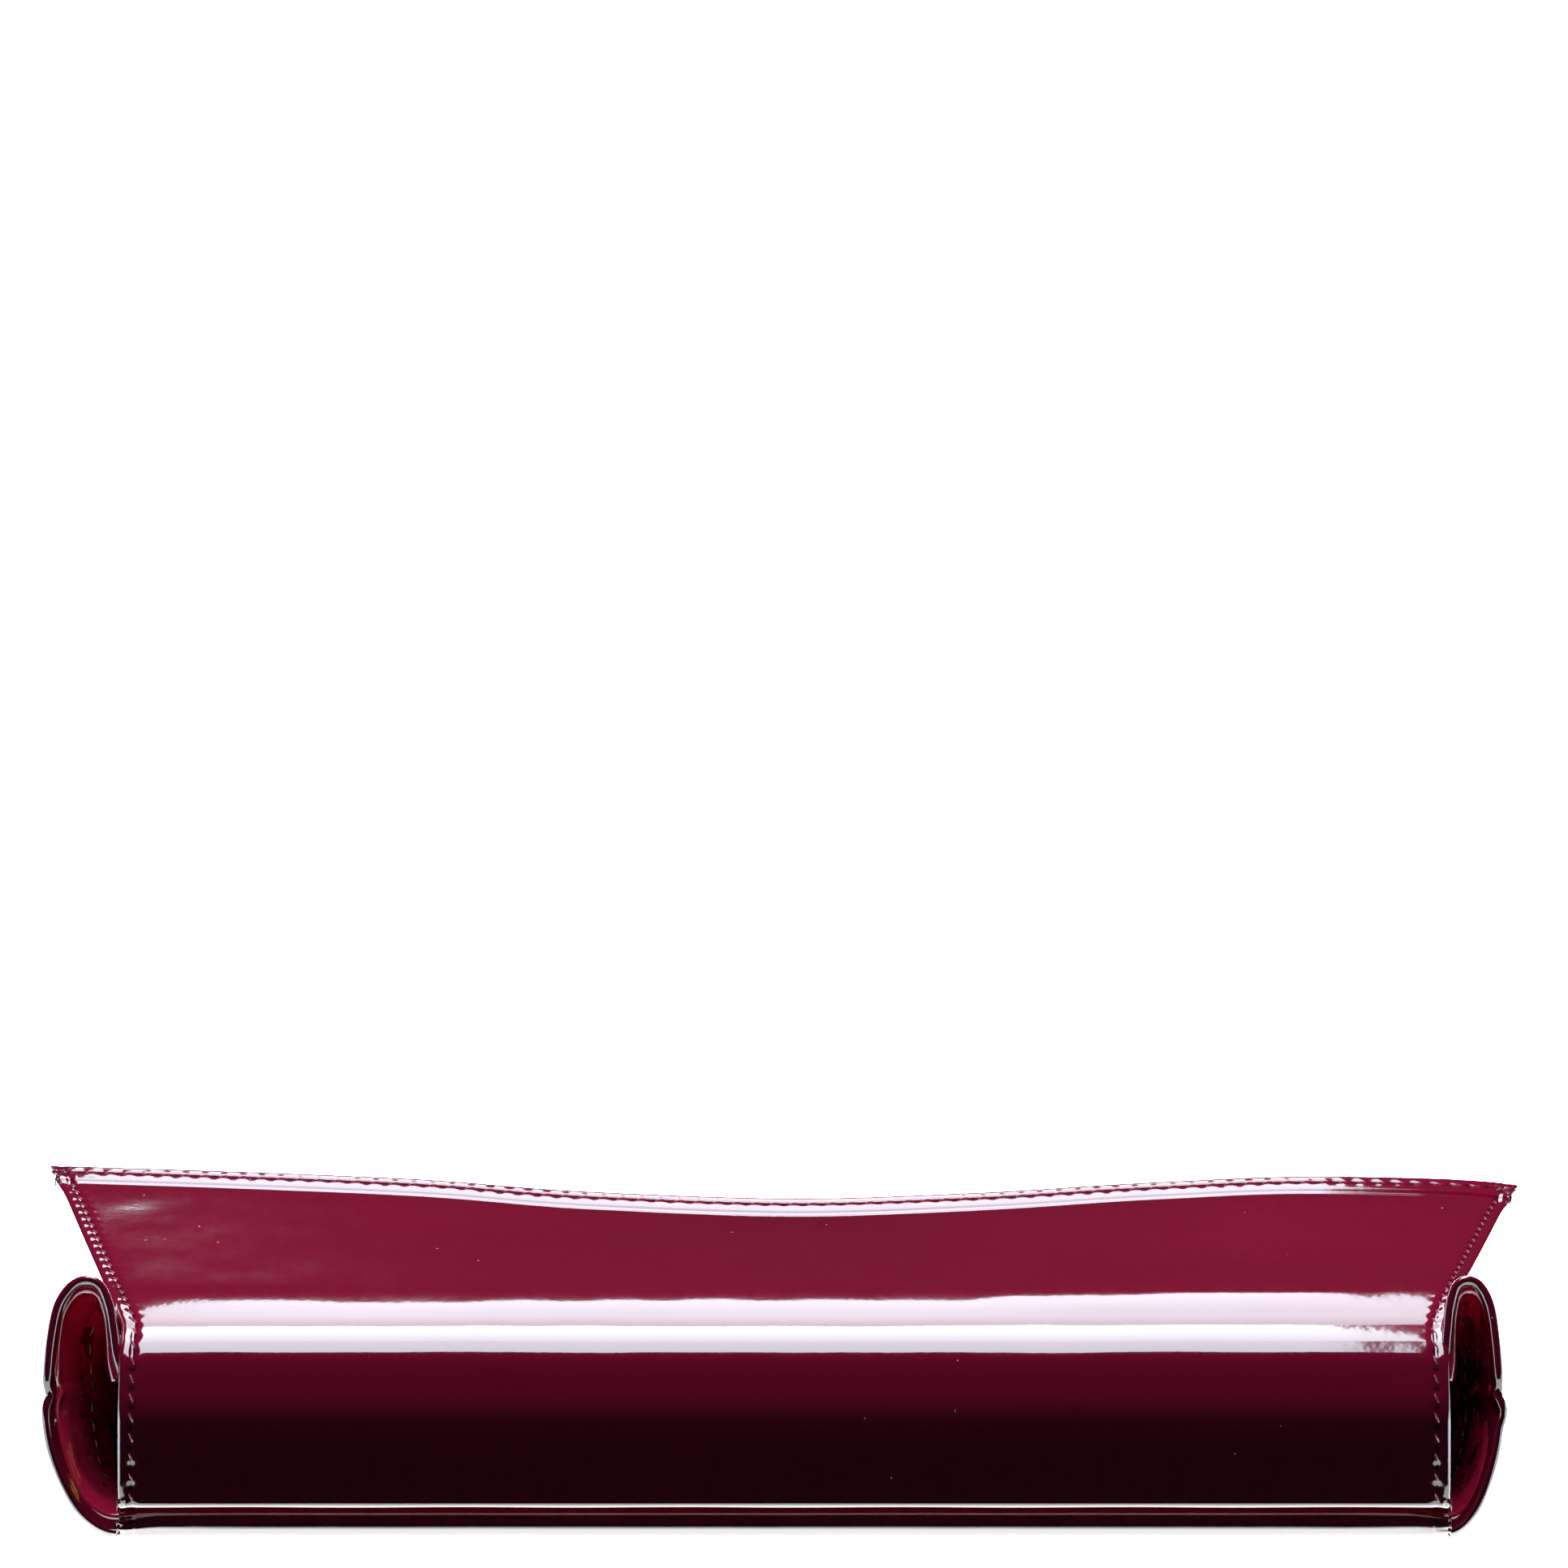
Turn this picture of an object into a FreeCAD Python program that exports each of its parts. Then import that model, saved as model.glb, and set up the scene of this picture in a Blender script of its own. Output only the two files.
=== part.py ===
import FreeCAD, Part
import itertools
import math
import os

import Sketcher

# A long wallet that lies on its back panel. X runs along the fold that closes the mouth, Y runs from
# the fold to the bottom of the pouch, and Z is up. The origin is under the middle of the wallet.
# Every profile is drawn with Y measured from the front of the lip; each piece's Placement then moves
# it by half the pouch's depth, so that the origin is at the middle.

SIZES = {
    # pouch outline
    "pouch_depth": 112,
    "mouth_width": 180,
    "bottom_flare": 6,
    "mouth_y": 16,
    "mouth_top": 21,
    "bottom_top": 12,
    "knee_y": 76,
    "knee_top": 17.4,
    # sheet thicknesses
    "leather": 1.1,
    "stiffener": 0.5,
    "lining": 0.5,
    "slot_leather": 0.5,
    "pocket_leather": 0.6,
    # gaps
    "fold_gap": 0.3,
    "sheet_gap": 0.1,
    "edge_gap": 0.6,
    "hem": 5.5,
    # lip
    "lip_height": 4.7,
    "lip_shelf": 5.5,
    # neck and flap
    "flap_flare": 14.1,
    "ridge_y": 0.8,
    "neck_swell_y": 2.5,
    "roll_start_y": 6,
    "roll_start_rise": 0.2,
    "roll_mid_y": 10.6,
    "roll_mid_rise": 4.6,
    "roll_end_y": 18,
    "roll_end_rise": 6.3,
    "flap_mid_y": 47,
    "flap_mid_rise": 7.7,
    "flap_end_y": 80,
    "flap_end_rise": 6,
    "flare_start_y": 14,
    # gussets
    "gusset_leather": 0.9,
    "gusset_nest": 0.6,
    "ear_out": 8.4,
    "ear_rise": 5.3,
    "ear_ridge": 4.2,
    "ear_lean": 13,
    "middle_bulge": 6.4,
    "bottom_bulge": 4.6,
    "gusset_runs": 24,
    # card slots
    "slot_width": 88,
    "slot_step": 12,
    "slot_mouth_y": 19,
    "slot_bottom_gap": 7,
    "column_gap": 1,
    # coin pocket and zip
    "pocket_side_gap": 4,
    "pocket_mouth_y": 24,
    "pocket_bottom_gap": 10,
    "pocket_low": 7.9,
    "pocket_height": 5.2,
    "pocket_bottom_low": 6.4,
    "pocket_bottom_height": 2.2,
    "tape": 0.4,
    "chain_width": 1.6,
    "chain_depth": 1.1,
    "tooth_pitch": 3,
    "tooth_length": 1.5,
    "chain_end_gap": 8,
    "stop_length": 2,
    "slider_length": 8,
    "slider_wall": 0.8,
    "slider_gap": 0.3,
    "bail_reach": 2.2,
    "bail_spacing": 3,
    "bail_pin": 0.45,
    "pull_length": 12,
    "pull_thick": 0.9,
    "pull_gap": 0.2,
    # snap
    "snap_y": 66,
    "snap_radius": 6.5,
    "socket_height": 1.9,
    "socket_bore": 2.6,
    "socket_floor": 0.6,
    "snap_gap": 1.0,
    "stud_tip_radius": 2.1,
    "stud_tip": 1.7,
    "shank_radius": 1.6,
    "shank_gap": 0.15,
    "washer": 0.4,
}

# sizes that follow from the ones above, written as the sheet's own formulas
FOLLOWERS = {
    "bottom_width": "=mouth_width + 2 * bottom_flare",
    "flap_width": "=mouth_width + 2 * flap_flare",
    "roll_start_z": "=mouth_top + roll_start_rise",
    "roll_mid_z": "=mouth_top + roll_mid_rise",
    "roll_end_z": "=mouth_top + roll_end_rise",
    "ear_top": "=roll_end_z + ear_rise",
    "slot_bottom_y": "=pouch_depth - bottom_top / 2 - slot_bottom_gap",
    "pocket_bottom_y": "=pouch_depth - bottom_top / 2 - pocket_bottom_gap",
    "pocket_width": "=mouth_width - 2 * pocket_side_gap",
    "tooth_count": "=floor((pocket_width - 2 * chain_end_gap - tooth_length) / tooth_pitch) + 1",
}

doc = FreeCAD.newDocument("long_wallet")
sheet = doc.addObject("Spreadsheet::Sheet", "sizes")
pieces = []


def write_cell(alias, content):
    """Put a size in the sheet's next row, under its alias."""
    row = len(sheet.getUsedCells()) // 2 + 1
    sheet.set(f"A{row}", alias)
    sheet.set(f"B{row}", str(content))
    sheet.setAlias(f"B{row}", alias)
    doc.recompute()


def size(alias):
    return float(sheet.get(alias))


for name, content in {**SIZES, **FOLLOWERS}.items():
    write_cell(name, content)


def vector(x, y, z):
    return FreeCAD.Vector(x, y, z)


HALF_DEPTH = size("pouch_depth") / 2
X_AXIS = vector(1, 0, 0)


def keep(piece, label, at=None, tilt=0):
    """Name a finished piece and put it in the wallet's own frame."""
    at = at or vector(0, 0, 0)
    piece.Label = label
    turn = FreeCAD.Rotation(X_AXIS, tilt)
    piece.Placement = FreeCAD.Placement(at - vector(0, HALF_DEPTH, 0), turn)
    pieces.append(piece)
    return piece


def feature(label, shape):
    """A piece whose shape is worked out by Part functions."""
    piece = doc.addObject("Part::Feature", label)
    piece.Shape = shape
    return keep(piece, label)


def plate(label, length, width, height, at):
    """A flat rectangular sheet: three expressions for its sizes and its low corner."""
    piece = doc.addObject("Part::Box", label)
    piece.setExpression("Length", length)
    piece.setExpression("Width", width)
    piece.setExpression("Height", height)
    return keep(piece, label, at)


def new_body(label):
    return doc.addObject("PartDesign::Body", label)


def sketch_on(body, role, corners):
    """A closed polygon whose corners are pairs of expressions, on one of the body's planes."""
    sketch = body.newObject("Sketcher::SketchObject", f"{body.Name}_{role}")
    plane = [item for item in body.Origin.OriginFeatures if item.Role == role][0]
    sketch.AttachmentSupport = [(plane, "")]
    sketch.MapMode = "FlatFace"
    values = [tuple(float(sheet.evalExpression(text)) for text in corner) for corner in corners]
    count = len(corners)
    for index, here in enumerate(values):
        there = values[(index + 1) % count]
        sketch.addGeometry(Part.LineSegment(vector(*here, 0), vector(*there, 0)), False)
    for index in range(count):
        sketch.addConstraint(Sketcher.Constraint("Coincident", index, 2, (index + 1) % count, 1))
    for index, corner in enumerate(corners):
        for kind, text, value in zip(("DistanceX", "DistanceY"), corner, values[index]):
            name = sketch.addConstraint(Sketcher.Constraint(kind, -1, 1, index, 1, value))
            sketch.setExpression(f"Constraints[{name}]", text)
    return sketch


def pad_along(body, sketch, length, symmetric=True):
    pad = body.newObject("PartDesign::Pad", f"{body.Name}_pad")
    pad.Profile = sketch
    pad.setExpression("Length", length)
    if symmetric:
        pad.SideType = "Symmetric"
    return pad


def revolve(body, sketch, axis):
    turn = body.newObject("PartDesign::Revolution", f"{body.Name}_turn")
    turn.Profile = sketch
    turn.ReferenceAxis = (sketch, [axis])
    turn.Angle = 360
    return turn


# ---------------------------------------------------------------- bent sheets


def arc(start, middle, end):
    """An arc in the YZ plane through three (y, z) points."""
    return Part.Arc(*[vector(0, *point) for point in (start, middle, end)]).toShape()


def line(start, end):
    return Part.LineSegment(vector(0, *start), vector(0, *end)).toShape()


def strip(path, near, far):
    """The face between two parallels of an open path, both on its inner side."""
    inner = path.makeOffset2D(far, 0, False, True)
    outer = path.makeOffset2D(near, 0, False, True) if near else path
    ends = [[edge_end(outer, last), edge_end(inner, last)] for last in (False, True)]
    caps = [Part.LineSegment(*pair).toShape() for pair in ends]
    return Part.Face(Part.Wire(Part.__sortEdges__(outer.Edges + inner.Edges + caps)))


def edge_end(wire, last):
    return wire.OrderedVertexes[-1 if last else 0].Point


def spread(face, width):
    """Sweep a profile along X, evenly about the middle."""
    copy = face.copy()
    copy.translate(vector(-width / 2, 0, 0))
    return copy.extrude(vector(width, 0, 0))


def tapered(points):
    """A tall prism over a plan outline given as (y, half width) from front to back."""
    left = [vector(-half, y, -1) for y, half in points]
    right = [vector(half, y, -1) for y, half in reversed(points)]
    outline = Part.makePolygon(left + right + [left[0]])
    return Part.Face(outline).extrude(vector(0, 0, size("ear_top") * 2))


def pouch_half(y):
    """Half width of the front and back panels at a depth y."""
    share = (y - size("mouth_y")) / (size("pouch_depth") - size("mouth_y"))
    narrow, wide = size("mouth_width") / 2, size("bottom_width") / 2
    return narrow + (wide - narrow) * max(share, 0)


def flap_half(y):
    """Half width of the neck and the flap at a depth y."""
    share = (y - size("flare_start_y")) / (size("flap_end_y") - size("flare_start_y"))
    narrow, wide = size("mouth_width") / 2, size("flap_width") / 2
    return narrow + (wide - narrow) * max(share, 0)


LEATHER = size("leather")
STIFFENER = size("stiffener")
LINING = size("lining")
SHELL = LEATHER + STIFFENER + LINING
DEPTH = size("pouch_depth")
FOLD = size("bottom_top") / 2


def pouch_outline(inset):
    """Plan prism of the pouch panels, set in from their side edges."""
    stops = [-1, size("mouth_y"), DEPTH + 1]
    return tapered([(y, pouch_half(y) - inset) for y in stops])


def back_panel():
    """One leather sheet: the lip's shelf, round the lip, along the table and up the bottom fold."""
    lip = size("lip_height") / 2
    path = Part.Wire([
        arc((DEPTH - FOLD, 2 * FOLD), (DEPTH, FOLD), (DEPTH - FOLD, 0)),
        line((DEPTH - FOLD, 0), (lip, 0)),
        arc((lip, 0), (0, lip), (lip, 2 * lip)),
        line((lip, 2 * lip), (size("lip_shelf"), 2 * lip)),
    ])
    sheet_shape = spread(strip(path, 0, LEATHER), size("bottom_width"))
    feature("back_panel", sheet_shape.common(pouch_outline(0)))


def lip_core():
    """The piping cord that fills the lip."""
    core = doc.addObject("Part::Cylinder", "lip_piping_core")
    core.setExpression("Radius", "sizes.lip_height / 2 - sizes.leather - sizes.sheet_gap")
    core.setExpression("Height", "sizes.mouth_width - 2 * sizes.edge_gap")
    keep(core, "lip_piping_core")
    middle = size("lip_height") / 2
    along_x = FreeCAD.Rotation(vector(0, 1, 0), 90)
    start = vector(-size("mouth_width") / 2 + size("edge_gap"), middle - HALF_DEPTH, middle)
    core.Placement = FreeCAD.Placement(start, along_x)


def back_layers():
    """Board and lining that lie flat on the back panel, inside the pouch."""
    front = size("lip_height") + size("edge_gap")
    reach = DEPTH - FOLD - front
    for label, low, thick in (
        ("back_stiffener", LEATHER, STIFFENER),
        ("back_lining", LEATHER + STIFFENER, LINING),
    ):
        wide = size("bottom_width")
        sheet_shape = Part.makeBox(wide, reach, thick, vector(-wide / 2, front, low))
        feature(label, sheet_shape.common(pouch_outline(size("edge_gap"))))


# ---------------------------------------------------------------- front panel


def front_path():
    """The front panel's outer surface, from the bottom fold to the mouth."""
    start = DEPTH - FOLD - size("fold_gap")
    return [
        (start, size("bottom_top")),
        (size("knee_y"), size("knee_top")),
        (size("mouth_y"), size("mouth_top")),
    ]


def front_height(y):
    """Height of the front panel's outer surface at a depth y."""
    for (far_y, far_z), (near_y, near_z) in itertools.pairwise(front_path()):
        if y >= near_y:
            break
    share = min(max((y - near_y) / (far_y - near_y), 0), 1)
    return near_z + (far_z - near_z) * share


def front_layer(low, high, inset):
    """A sheet between two depths under the front panel's outer surface."""
    top = front_path()
    corners = [vector(0, y, z - low) for y, z in top]
    corners += [vector(0, y, z - high) for y, z in reversed(top)]
    profile = Part.Face(Part.makePolygon(corners + [corners[0]]))
    start, stop = size("mouth_y") + inset, DEPTH - FOLD - size("fold_gap") - inset
    outline = tapered([(y, pouch_half(y) - inset) for y in (start, stop)])
    return spread(profile, size("bottom_width")).common(outline)


def socket_axis():
    """Foot of the snap's socket on the front panel, and the panel's normal there."""
    y, radius = size("snap_y"), size("snap_radius")
    fall = front_height(y - radius) - front_height(y + radius)
    return vector(0, y, front_height(y)), vector(0, fall, 2 * radius).normalize()


def snap_hole(axis, radius):
    """A round cutter on an axis of the snap, longer than the sheets are thick."""
    foot, up = axis
    return Part.makeCylinder(radius, 2 * SHELL, foot - up * SHELL, up)


def front_panel():
    shank = size("shank_radius") + size("shank_gap")
    seat = size("snap_radius") + size("shank_gap")
    margin = size("edge_gap")
    leather = front_layer(0, LEATHER, 0).cut(snap_hole(socket_axis(), shank))
    board = front_layer(LEATHER, LEATHER + STIFFENER, margin).cut(snap_hole(socket_axis(), seat))
    feature("front_panel", leather)
    feature("front_stiffener", board)
    feature("front_lining", front_layer(LEATHER + STIFFENER, SHELL, margin))


# ---------------------------------------------------------------- neck and flap


def circle_of(first, second, third):
    """Centre and radius of the circle through three (y, z) points."""
    circle = arc(first, second, third).Curve
    return circle.Center, circle.Radius


def roll_points():
    return [
        (size("roll_start_y"), size("roll_start_z")),
        (size("roll_mid_y"), size("roll_mid_z")),
        (size("roll_end_y"), size("roll_end_z")),
    ]


def flap_points():
    """Three points of the flap's outer surface, at named heights over the front panel."""
    crown = (size("flap_mid_y"), front_height(size("flap_mid_y")) + size("flap_mid_rise"))
    edge = (size("flap_end_y"), front_height(size("flap_end_y")) + size("flap_end_rise"))
    return [roll_points()[-1], crown, edge]


def on_roll(point, shift):
    """The point on the roll's circle next to a given one, moved along the circle by a length."""
    centre, radius = circle_of(*roll_points())
    angle = math.atan2(point[1] - centre.z, point[0] - centre.y) - shift / radius
    return (centre.y + radius * math.cos(angle), centre.z + radius * math.sin(angle))


def neck_path():
    """Outer surface of the neck, from the crease above the lip to the middle of the roll."""
    start, middle, _ = roll_points()
    foot = (size("ridge_y"), size("lip_height") + size("fold_gap"))
    swell = (size("neck_swell_y"), (foot[1] + start[1]) / 2)
    stop = on_roll(middle, -size("fold_gap") / 2)
    half_way = on_roll(start, math.dist(start, stop) / 2)
    return Part.Wire([arc(foot, swell, start), arc(start, half_way, stop)])


def flap_path(front_inset=0, back_inset=0):
    """Outer surface of the flap, from the middle of the roll to its free edge."""
    _, middle, end = roll_points()
    start = on_roll(middle, size("fold_gap") / 2 + front_inset)
    half_way = on_roll(start, math.dist(start, end) / 2)
    _, crown, edge = flap_points()
    centre, radius = circle_of(end, crown, edge)
    angle = math.atan2(edge[1] - centre.z, edge[0] - centre.y) + back_inset / radius
    stop = (centre.y + radius * math.cos(angle), centre.z + radius * math.sin(angle))
    return Part.Wire([arc(start, half_way, end), arc(end, crown, stop)])


def flap_outline(inset):
    """Plan prism of the neck and the flap, set in from their side edges."""
    stops = [-size("flap_end_y"), size("flare_start_y"), size("flap_end_y") * 2]
    return tapered([(y, flap_half(y) - inset) for y in stops])


def flap_sheet(label, path, near, far, inset):
    """One layer of the neck or the flap."""
    sheet_shape = spread(strip(path, near, far), size("flap_width") * 2)
    feature(label, sheet_shape.common(flap_outline(inset)))


def neck_and_flap():
    margin = size("edge_gap")
    hem = size("hem")
    flap_sheet("neck_leather", neck_path(), 0, LEATHER, 0)
    flap_sheet("neck_lining", neck_path(), LEATHER, LEATHER + LINING, margin)
    flap_sheet("flap_leather", flap_path(), 0, LEATHER, 0)
    board = spread(strip(flap_path(hem, hem), LEATHER, LEATHER + STIFFENER), size("flap_width") * 2)
    seat = snap_hole(stud_axis(), size("snap_radius") + size("shank_gap"))
    feature("flap_stiffener", board.common(flap_outline(hem)).cut(seat))
    lining = spread(strip(flap_path(0, margin), LEATHER + STIFFENER, SHELL), size("flap_width") * 2)
    foot, up = stud_axis()
    shank = size("shank_radius") + size("shank_gap")
    hole = Part.makeCylinder(shank, SHELL, foot - up * STIFFENER, up)
    feature("flap_lining", lining.common(flap_outline(margin)).cut(hole))


# ---------------------------------------------------------------- snap


def stud_axis():
    """Foot of the snap's stud on the flap's lining, and the flap's normal, aimed at the socket."""
    centre, radius = circle_of(*flap_points())
    socket_foot, socket_up = socket_axis()
    aim = socket_foot + socket_up * size("socket_height")
    up = vector(0, aim.y - centre.y, aim.z - centre.z).normalize()
    return vector(0, centre.y, centre.z) + up * (radius - SHELL), up


def on_axis(piece, label, axis, low=0):
    """Stand a round piece on an axis of the snap."""
    foot, up = axis
    tilt = math.degrees(math.atan2(-up.y, up.z))
    return keep(piece, label, foot + up * low, tilt)


def snap_socket():
    """The lower half of the snap, on the front panel: a round case with a bore in its top."""
    body = new_body("snap_socket")
    corners = [
        ("0", "-sizes.leather"),
        ("sizes.shank_radius", "-sizes.leather"),
        ("sizes.shank_radius", "0"),
        ("sizes.snap_radius", "0"),
        ("sizes.snap_radius", "sizes.socket_height * 0.6"),
        ("sizes.snap_radius - sizes.socket_height * 0.4", "sizes.socket_height"),
        ("sizes.socket_bore", "sizes.socket_height"),
        ("sizes.socket_bore", "sizes.socket_floor"),
        ("0", "sizes.socket_floor"),
    ]
    revolve(body, sketch_on(body, "XZ_Plane", corners), "V_Axis")
    on_axis(body, "snap_socket", socket_axis())


def snap_stud():
    """The upper half of the snap, on the flap: a flat case with a tip that enters the bore."""
    body = new_body("snap_stud")
    socket_foot, socket_up = socket_axis()
    rim = socket_foot + socket_up * size("socket_height")
    room = (stud_axis()[0] - rim).Length
    write_cell("stud_height", room - size("snap_gap") - size("shank_gap"))
    corners = [
        ("0", "sizes.lining"),
        ("sizes.shank_radius", "sizes.lining"),
        ("sizes.shank_radius", "-sizes.shank_gap"),
        ("sizes.snap_radius", "-sizes.shank_gap"),
        ("sizes.snap_radius - sizes.stud_height * 0.4", "-sizes.shank_gap - sizes.stud_height"),
        ("sizes.stud_tip_radius", "-sizes.shank_gap - sizes.stud_height"),
        ("sizes.stud_tip_radius * 0.8", "-sizes.shank_gap - sizes.stud_height - sizes.stud_tip"),
        ("0", "-sizes.shank_gap - sizes.stud_height - sizes.stud_tip"),
    ]
    revolve(body, sketch_on(body, "XZ_Plane", corners), "V_Axis")
    on_axis(body, "snap_stud", stud_axis())


def washer(label, axis, low):
    """A round plate that holds one half of the snap from behind the leather."""
    disc = doc.addObject("Part::Cylinder", label)
    disc.setExpression("Radius", "sizes.snap_radius")
    disc.setExpression("Height", "sizes.washer")
    on_axis(disc, label, axis, low)


# ---------------------------------------------------------------- gussets


def gusset_line(y, nest):
    """The middle of a gusset's sheet at a depth y, from the back panel round to the front panel."""
    root = pouch_half(y) + size("gusset_leather") / 2 + size("fold_gap")
    low, end = LEATHER / 2 + nest, front_height(y) - LEATHER / 2 - nest
    top, ridge = size("ear_top") - nest, root + size("ear_ridge")
    reach = size("ear_out") - nest
    lift = top - low
    inner = flap_half(size("mouth_y")) + size("gusset_leather") / 2 + size("edge_gap") + nest
    ear = [
        (root, low),
        (root + reach * 0.62, low + lift * 0.08),
        (root + reach * 0.93, low + lift * 0.28),
        (root + reach, low + lift * 0.52),
        (root + reach * 0.92, low + lift * 0.82),
        (ridge, top),
        ((inner + ridge) / 2, top - lift * 0.05),
        (inner, (top + end) / 2),
        (root, end),
    ]
    along = min(max((y - size("mouth_y")) / (DEPTH - size("mouth_y")), 0), 1)
    bulge = size("middle_bulge") * (1 - along) + size("bottom_bulge") * along - nest
    turns = [math.pi * index / (len(ear) - 1) for index in range(len(ear))]
    loop = [
        (root + bulge * math.sin(turn) ** 0.7, low + (end - low) * (1 - math.cos(turn)) / 2)
        for turn in turns[:-1]
    ]
    loop.append((root, end))
    rise = max(1 - max(y - size("mouth_y"), 0) / size("ear_lean"), 0)
    return [
        (ear_x * rise + loop_x * (1 - rise), ear_z * rise + loop_z * (1 - rise))
        for (ear_x, ear_z), (loop_x, loop_z) in zip(ear, loop)
    ]


def gusset_wire(y, nest):
    """Closed outline of the left gusset's sheet at one depth, as short straight runs."""
    curve = Part.BSplineCurve()
    curve.interpolate([vector(-x, y, z) for x, z in gusset_line(y, nest)])
    steps = size("gusset_runs")
    stations = [
        curve.FirstParameter + (curve.LastParameter - curve.FirstParameter) * index / steps
        for index in range(int(steps) + 1)
    ]
    half = size("gusset_leather") / 2
    steps_in = [curve.tangent(at)[0].cross(vector(0, half, 0)) for at in stations]
    corners = [curve.value(at) + step for at, step in zip(stations, steps_in)]
    corners += [curve.value(at) - step for at, step in zip(stations[::-1], steps_in[::-1])]
    return Part.makePolygon(corners + [corners[0]])


def rim_cutter(setback):
    """Everything in front of the gusset's rim, which leans back from the table to its top."""
    top = size("ear_top") + 2 * size("leather")
    reach = size("flap_width")
    corners = [
        vector(-reach, -1, -1),
        vector(-reach, setback, -1),
        vector(-reach, setback + size("ear_lean"), top),
        vector(-reach, -1, top),
    ]
    return Part.Face(Part.makePolygon(corners + [corners[0]])).extrude(vector(2 * reach, 0, 0))


def gussets():
    """Two nested loops of leather at each end of the mouth, which let the pouch open."""
    nest = size("gusset_leather") + size("gusset_nest")
    mouth, knee = size("mouth_y"), size("knee_y")
    steps = [0, mouth, mouth + size("ear_lean") / 2, mouth + size("ear_lean")]
    steps += [(mouth + knee) / 2, knee, DEPTH - FOLD - size("fold_gap")]
    for layer, shift, setback in (("outer", 0, 0), ("inner", nest, size("hem") / 2)):
        wires = [gusset_wire(y, shift) for y in steps]
        shell = Part.makeLoft(wires, True, True).cut(rim_cutter(setback))
        feature(f"gusset_{layer}_left", shell)
        feature(f"gusset_{layer}_right", shell.mirror(vector(0, 0, 0), X_AXIS))


# ---------------------------------------------------------------- card slots


def card_slots():
    """Two columns of four overlapping card slots on the back lining."""
    base = SHELL
    for side, name in ((-1, "left"), (1, "right")):
        for tier in range(4):
            mouth = size("slot_mouth_y") + tier * size("slot_step")
            near = size("column_gap") / 2
            low_x = near if side > 0 else -near - size("slot_width")
            plate(
                f"card_slot_{name}_{tier + 1}",
                "sizes.slot_width",
                f"sizes.slot_bottom_y - sizes.slot_mouth_y - {tier} * sizes.slot_step",
                "sizes.slot_leather",
                vector(low_x, mouth, base + tier * size("slot_leather")),
            )


# ---------------------------------------------------------------- coin pocket and zip


def coin_pocket():
    """One sheet folded at the bottom of the pouch, open towards the mouth."""
    body = new_body("coin_pocket")
    mouth, bottom, skin = "sizes.pocket_mouth_y", "sizes.pocket_bottom_y", "sizes.pocket_leather"
    low, end_low = "sizes.pocket_low", "sizes.pocket_bottom_low"
    high = "(sizes.pocket_low + sizes.pocket_height)"
    end_high = "(sizes.pocket_bottom_low + sizes.pocket_bottom_height)"
    corners = [
        (mouth, low),
        (bottom, end_low),
        (bottom, end_high),
        (mouth, high),
        (mouth, f"{high} - {skin}"),
        (f"{bottom} - {skin}", f"{end_high} - {skin}"),
        (f"{bottom} - {skin}", f"{end_low} + {skin}"),
        (mouth, f"{low} + {skin}"),
    ]
    pad_along(body, sketch_on(body, "YZ_Plane", corners), "sizes.pocket_width")
    keep(body, "coin_pocket")


def chain_middle():
    """Height of the zip's chain."""
    return size("pocket_low") + size("pocket_height") / 2


def chain_length():
    return size("tooth_pitch") * (size("tooth_count") - 1) + size("tooth_length")


def zip_tapes():
    """Two tapes that close the coin pocket's mouth as far as the chain."""
    start = -size("pocket_width") / 2
    mouth = size("pocket_mouth_y") - size("tape")
    half = size("chain_width") / 2
    height = "sizes.pocket_height / 2 - sizes.chain_width / 2"
    plate("zip_tape_lower", "sizes.pocket_width", "sizes.tape", height,
          vector(start, mouth, size("pocket_low")))
    plate("zip_tape_upper", "sizes.pocket_width", "sizes.tape", height,
          vector(start, mouth, chain_middle() + half))


def zip_chain():
    """The closed row of teeth: a core along the tapes' edges and a tooth at every pitch."""
    body = new_body("zip_chain")
    half, deep = "sizes.chain_width / 2", "sizes.chain_depth"
    start = "-(sizes.tooth_pitch * (sizes.tooth_count - 1) + sizes.tooth_length) / 2"
    core = [
        (start, f"-{half}"),
        (f"-({start})", f"-{half}"),
        (f"-({start})", half),
        (start, half),
    ]
    outline = sketch_on(body, "XY_Plane", core)
    pad_along(body, outline, "sizes.tape", symmetric=False)
    tooth = [
        (start, f"-{half}"),
        (f"{start} + sizes.tooth_length", f"-{half}"),
        (f"{start} + sizes.tooth_length", half),
        (start, half),
    ]
    profile = sketch_on(body, "XY_Plane", tooth)
    raised = body.newObject("PartDesign::Pad", "zip_tooth")
    raised.Profile = profile
    raised.setExpression("Length", deep)
    doc.recompute()
    row = body.newObject("PartDesign::LinearPattern", "zip_teeth")
    row.Originals = [raised]
    row.Direction = (profile, ["H_Axis"])
    row.setExpression("Length", "sizes.tooth_pitch * (sizes.tooth_count - 1)")
    row.setExpression("Occurrences", "sizes.tooth_count")
    body.Tip = row
    keep(body, "zip_chain")
    at = vector(0, size("pocket_mouth_y") - HALF_DEPTH, chain_middle())
    body.Placement = FreeCAD.Placement(at, FreeCAD.Rotation(X_AXIS, 90))


def zip_stops():
    """A metal stop at each end of the chain."""
    mouth = size("pocket_mouth_y") - size("chain_depth")
    low = chain_middle() - size("chain_width") / 2
    for name, at_x in (("left", -chain_length() / 2 - size("stop_length")), ("right", chain_length() / 2)):
        plate(f"zip_stop_{name}", "sizes.stop_length", "sizes.chain_depth", "sizes.chain_width",
              vector(at_x, mouth, low))


def slider_start():
    """The slider's middle when the zip is closed."""
    return -chain_length() / 2 + size("slider_length") / 2


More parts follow.
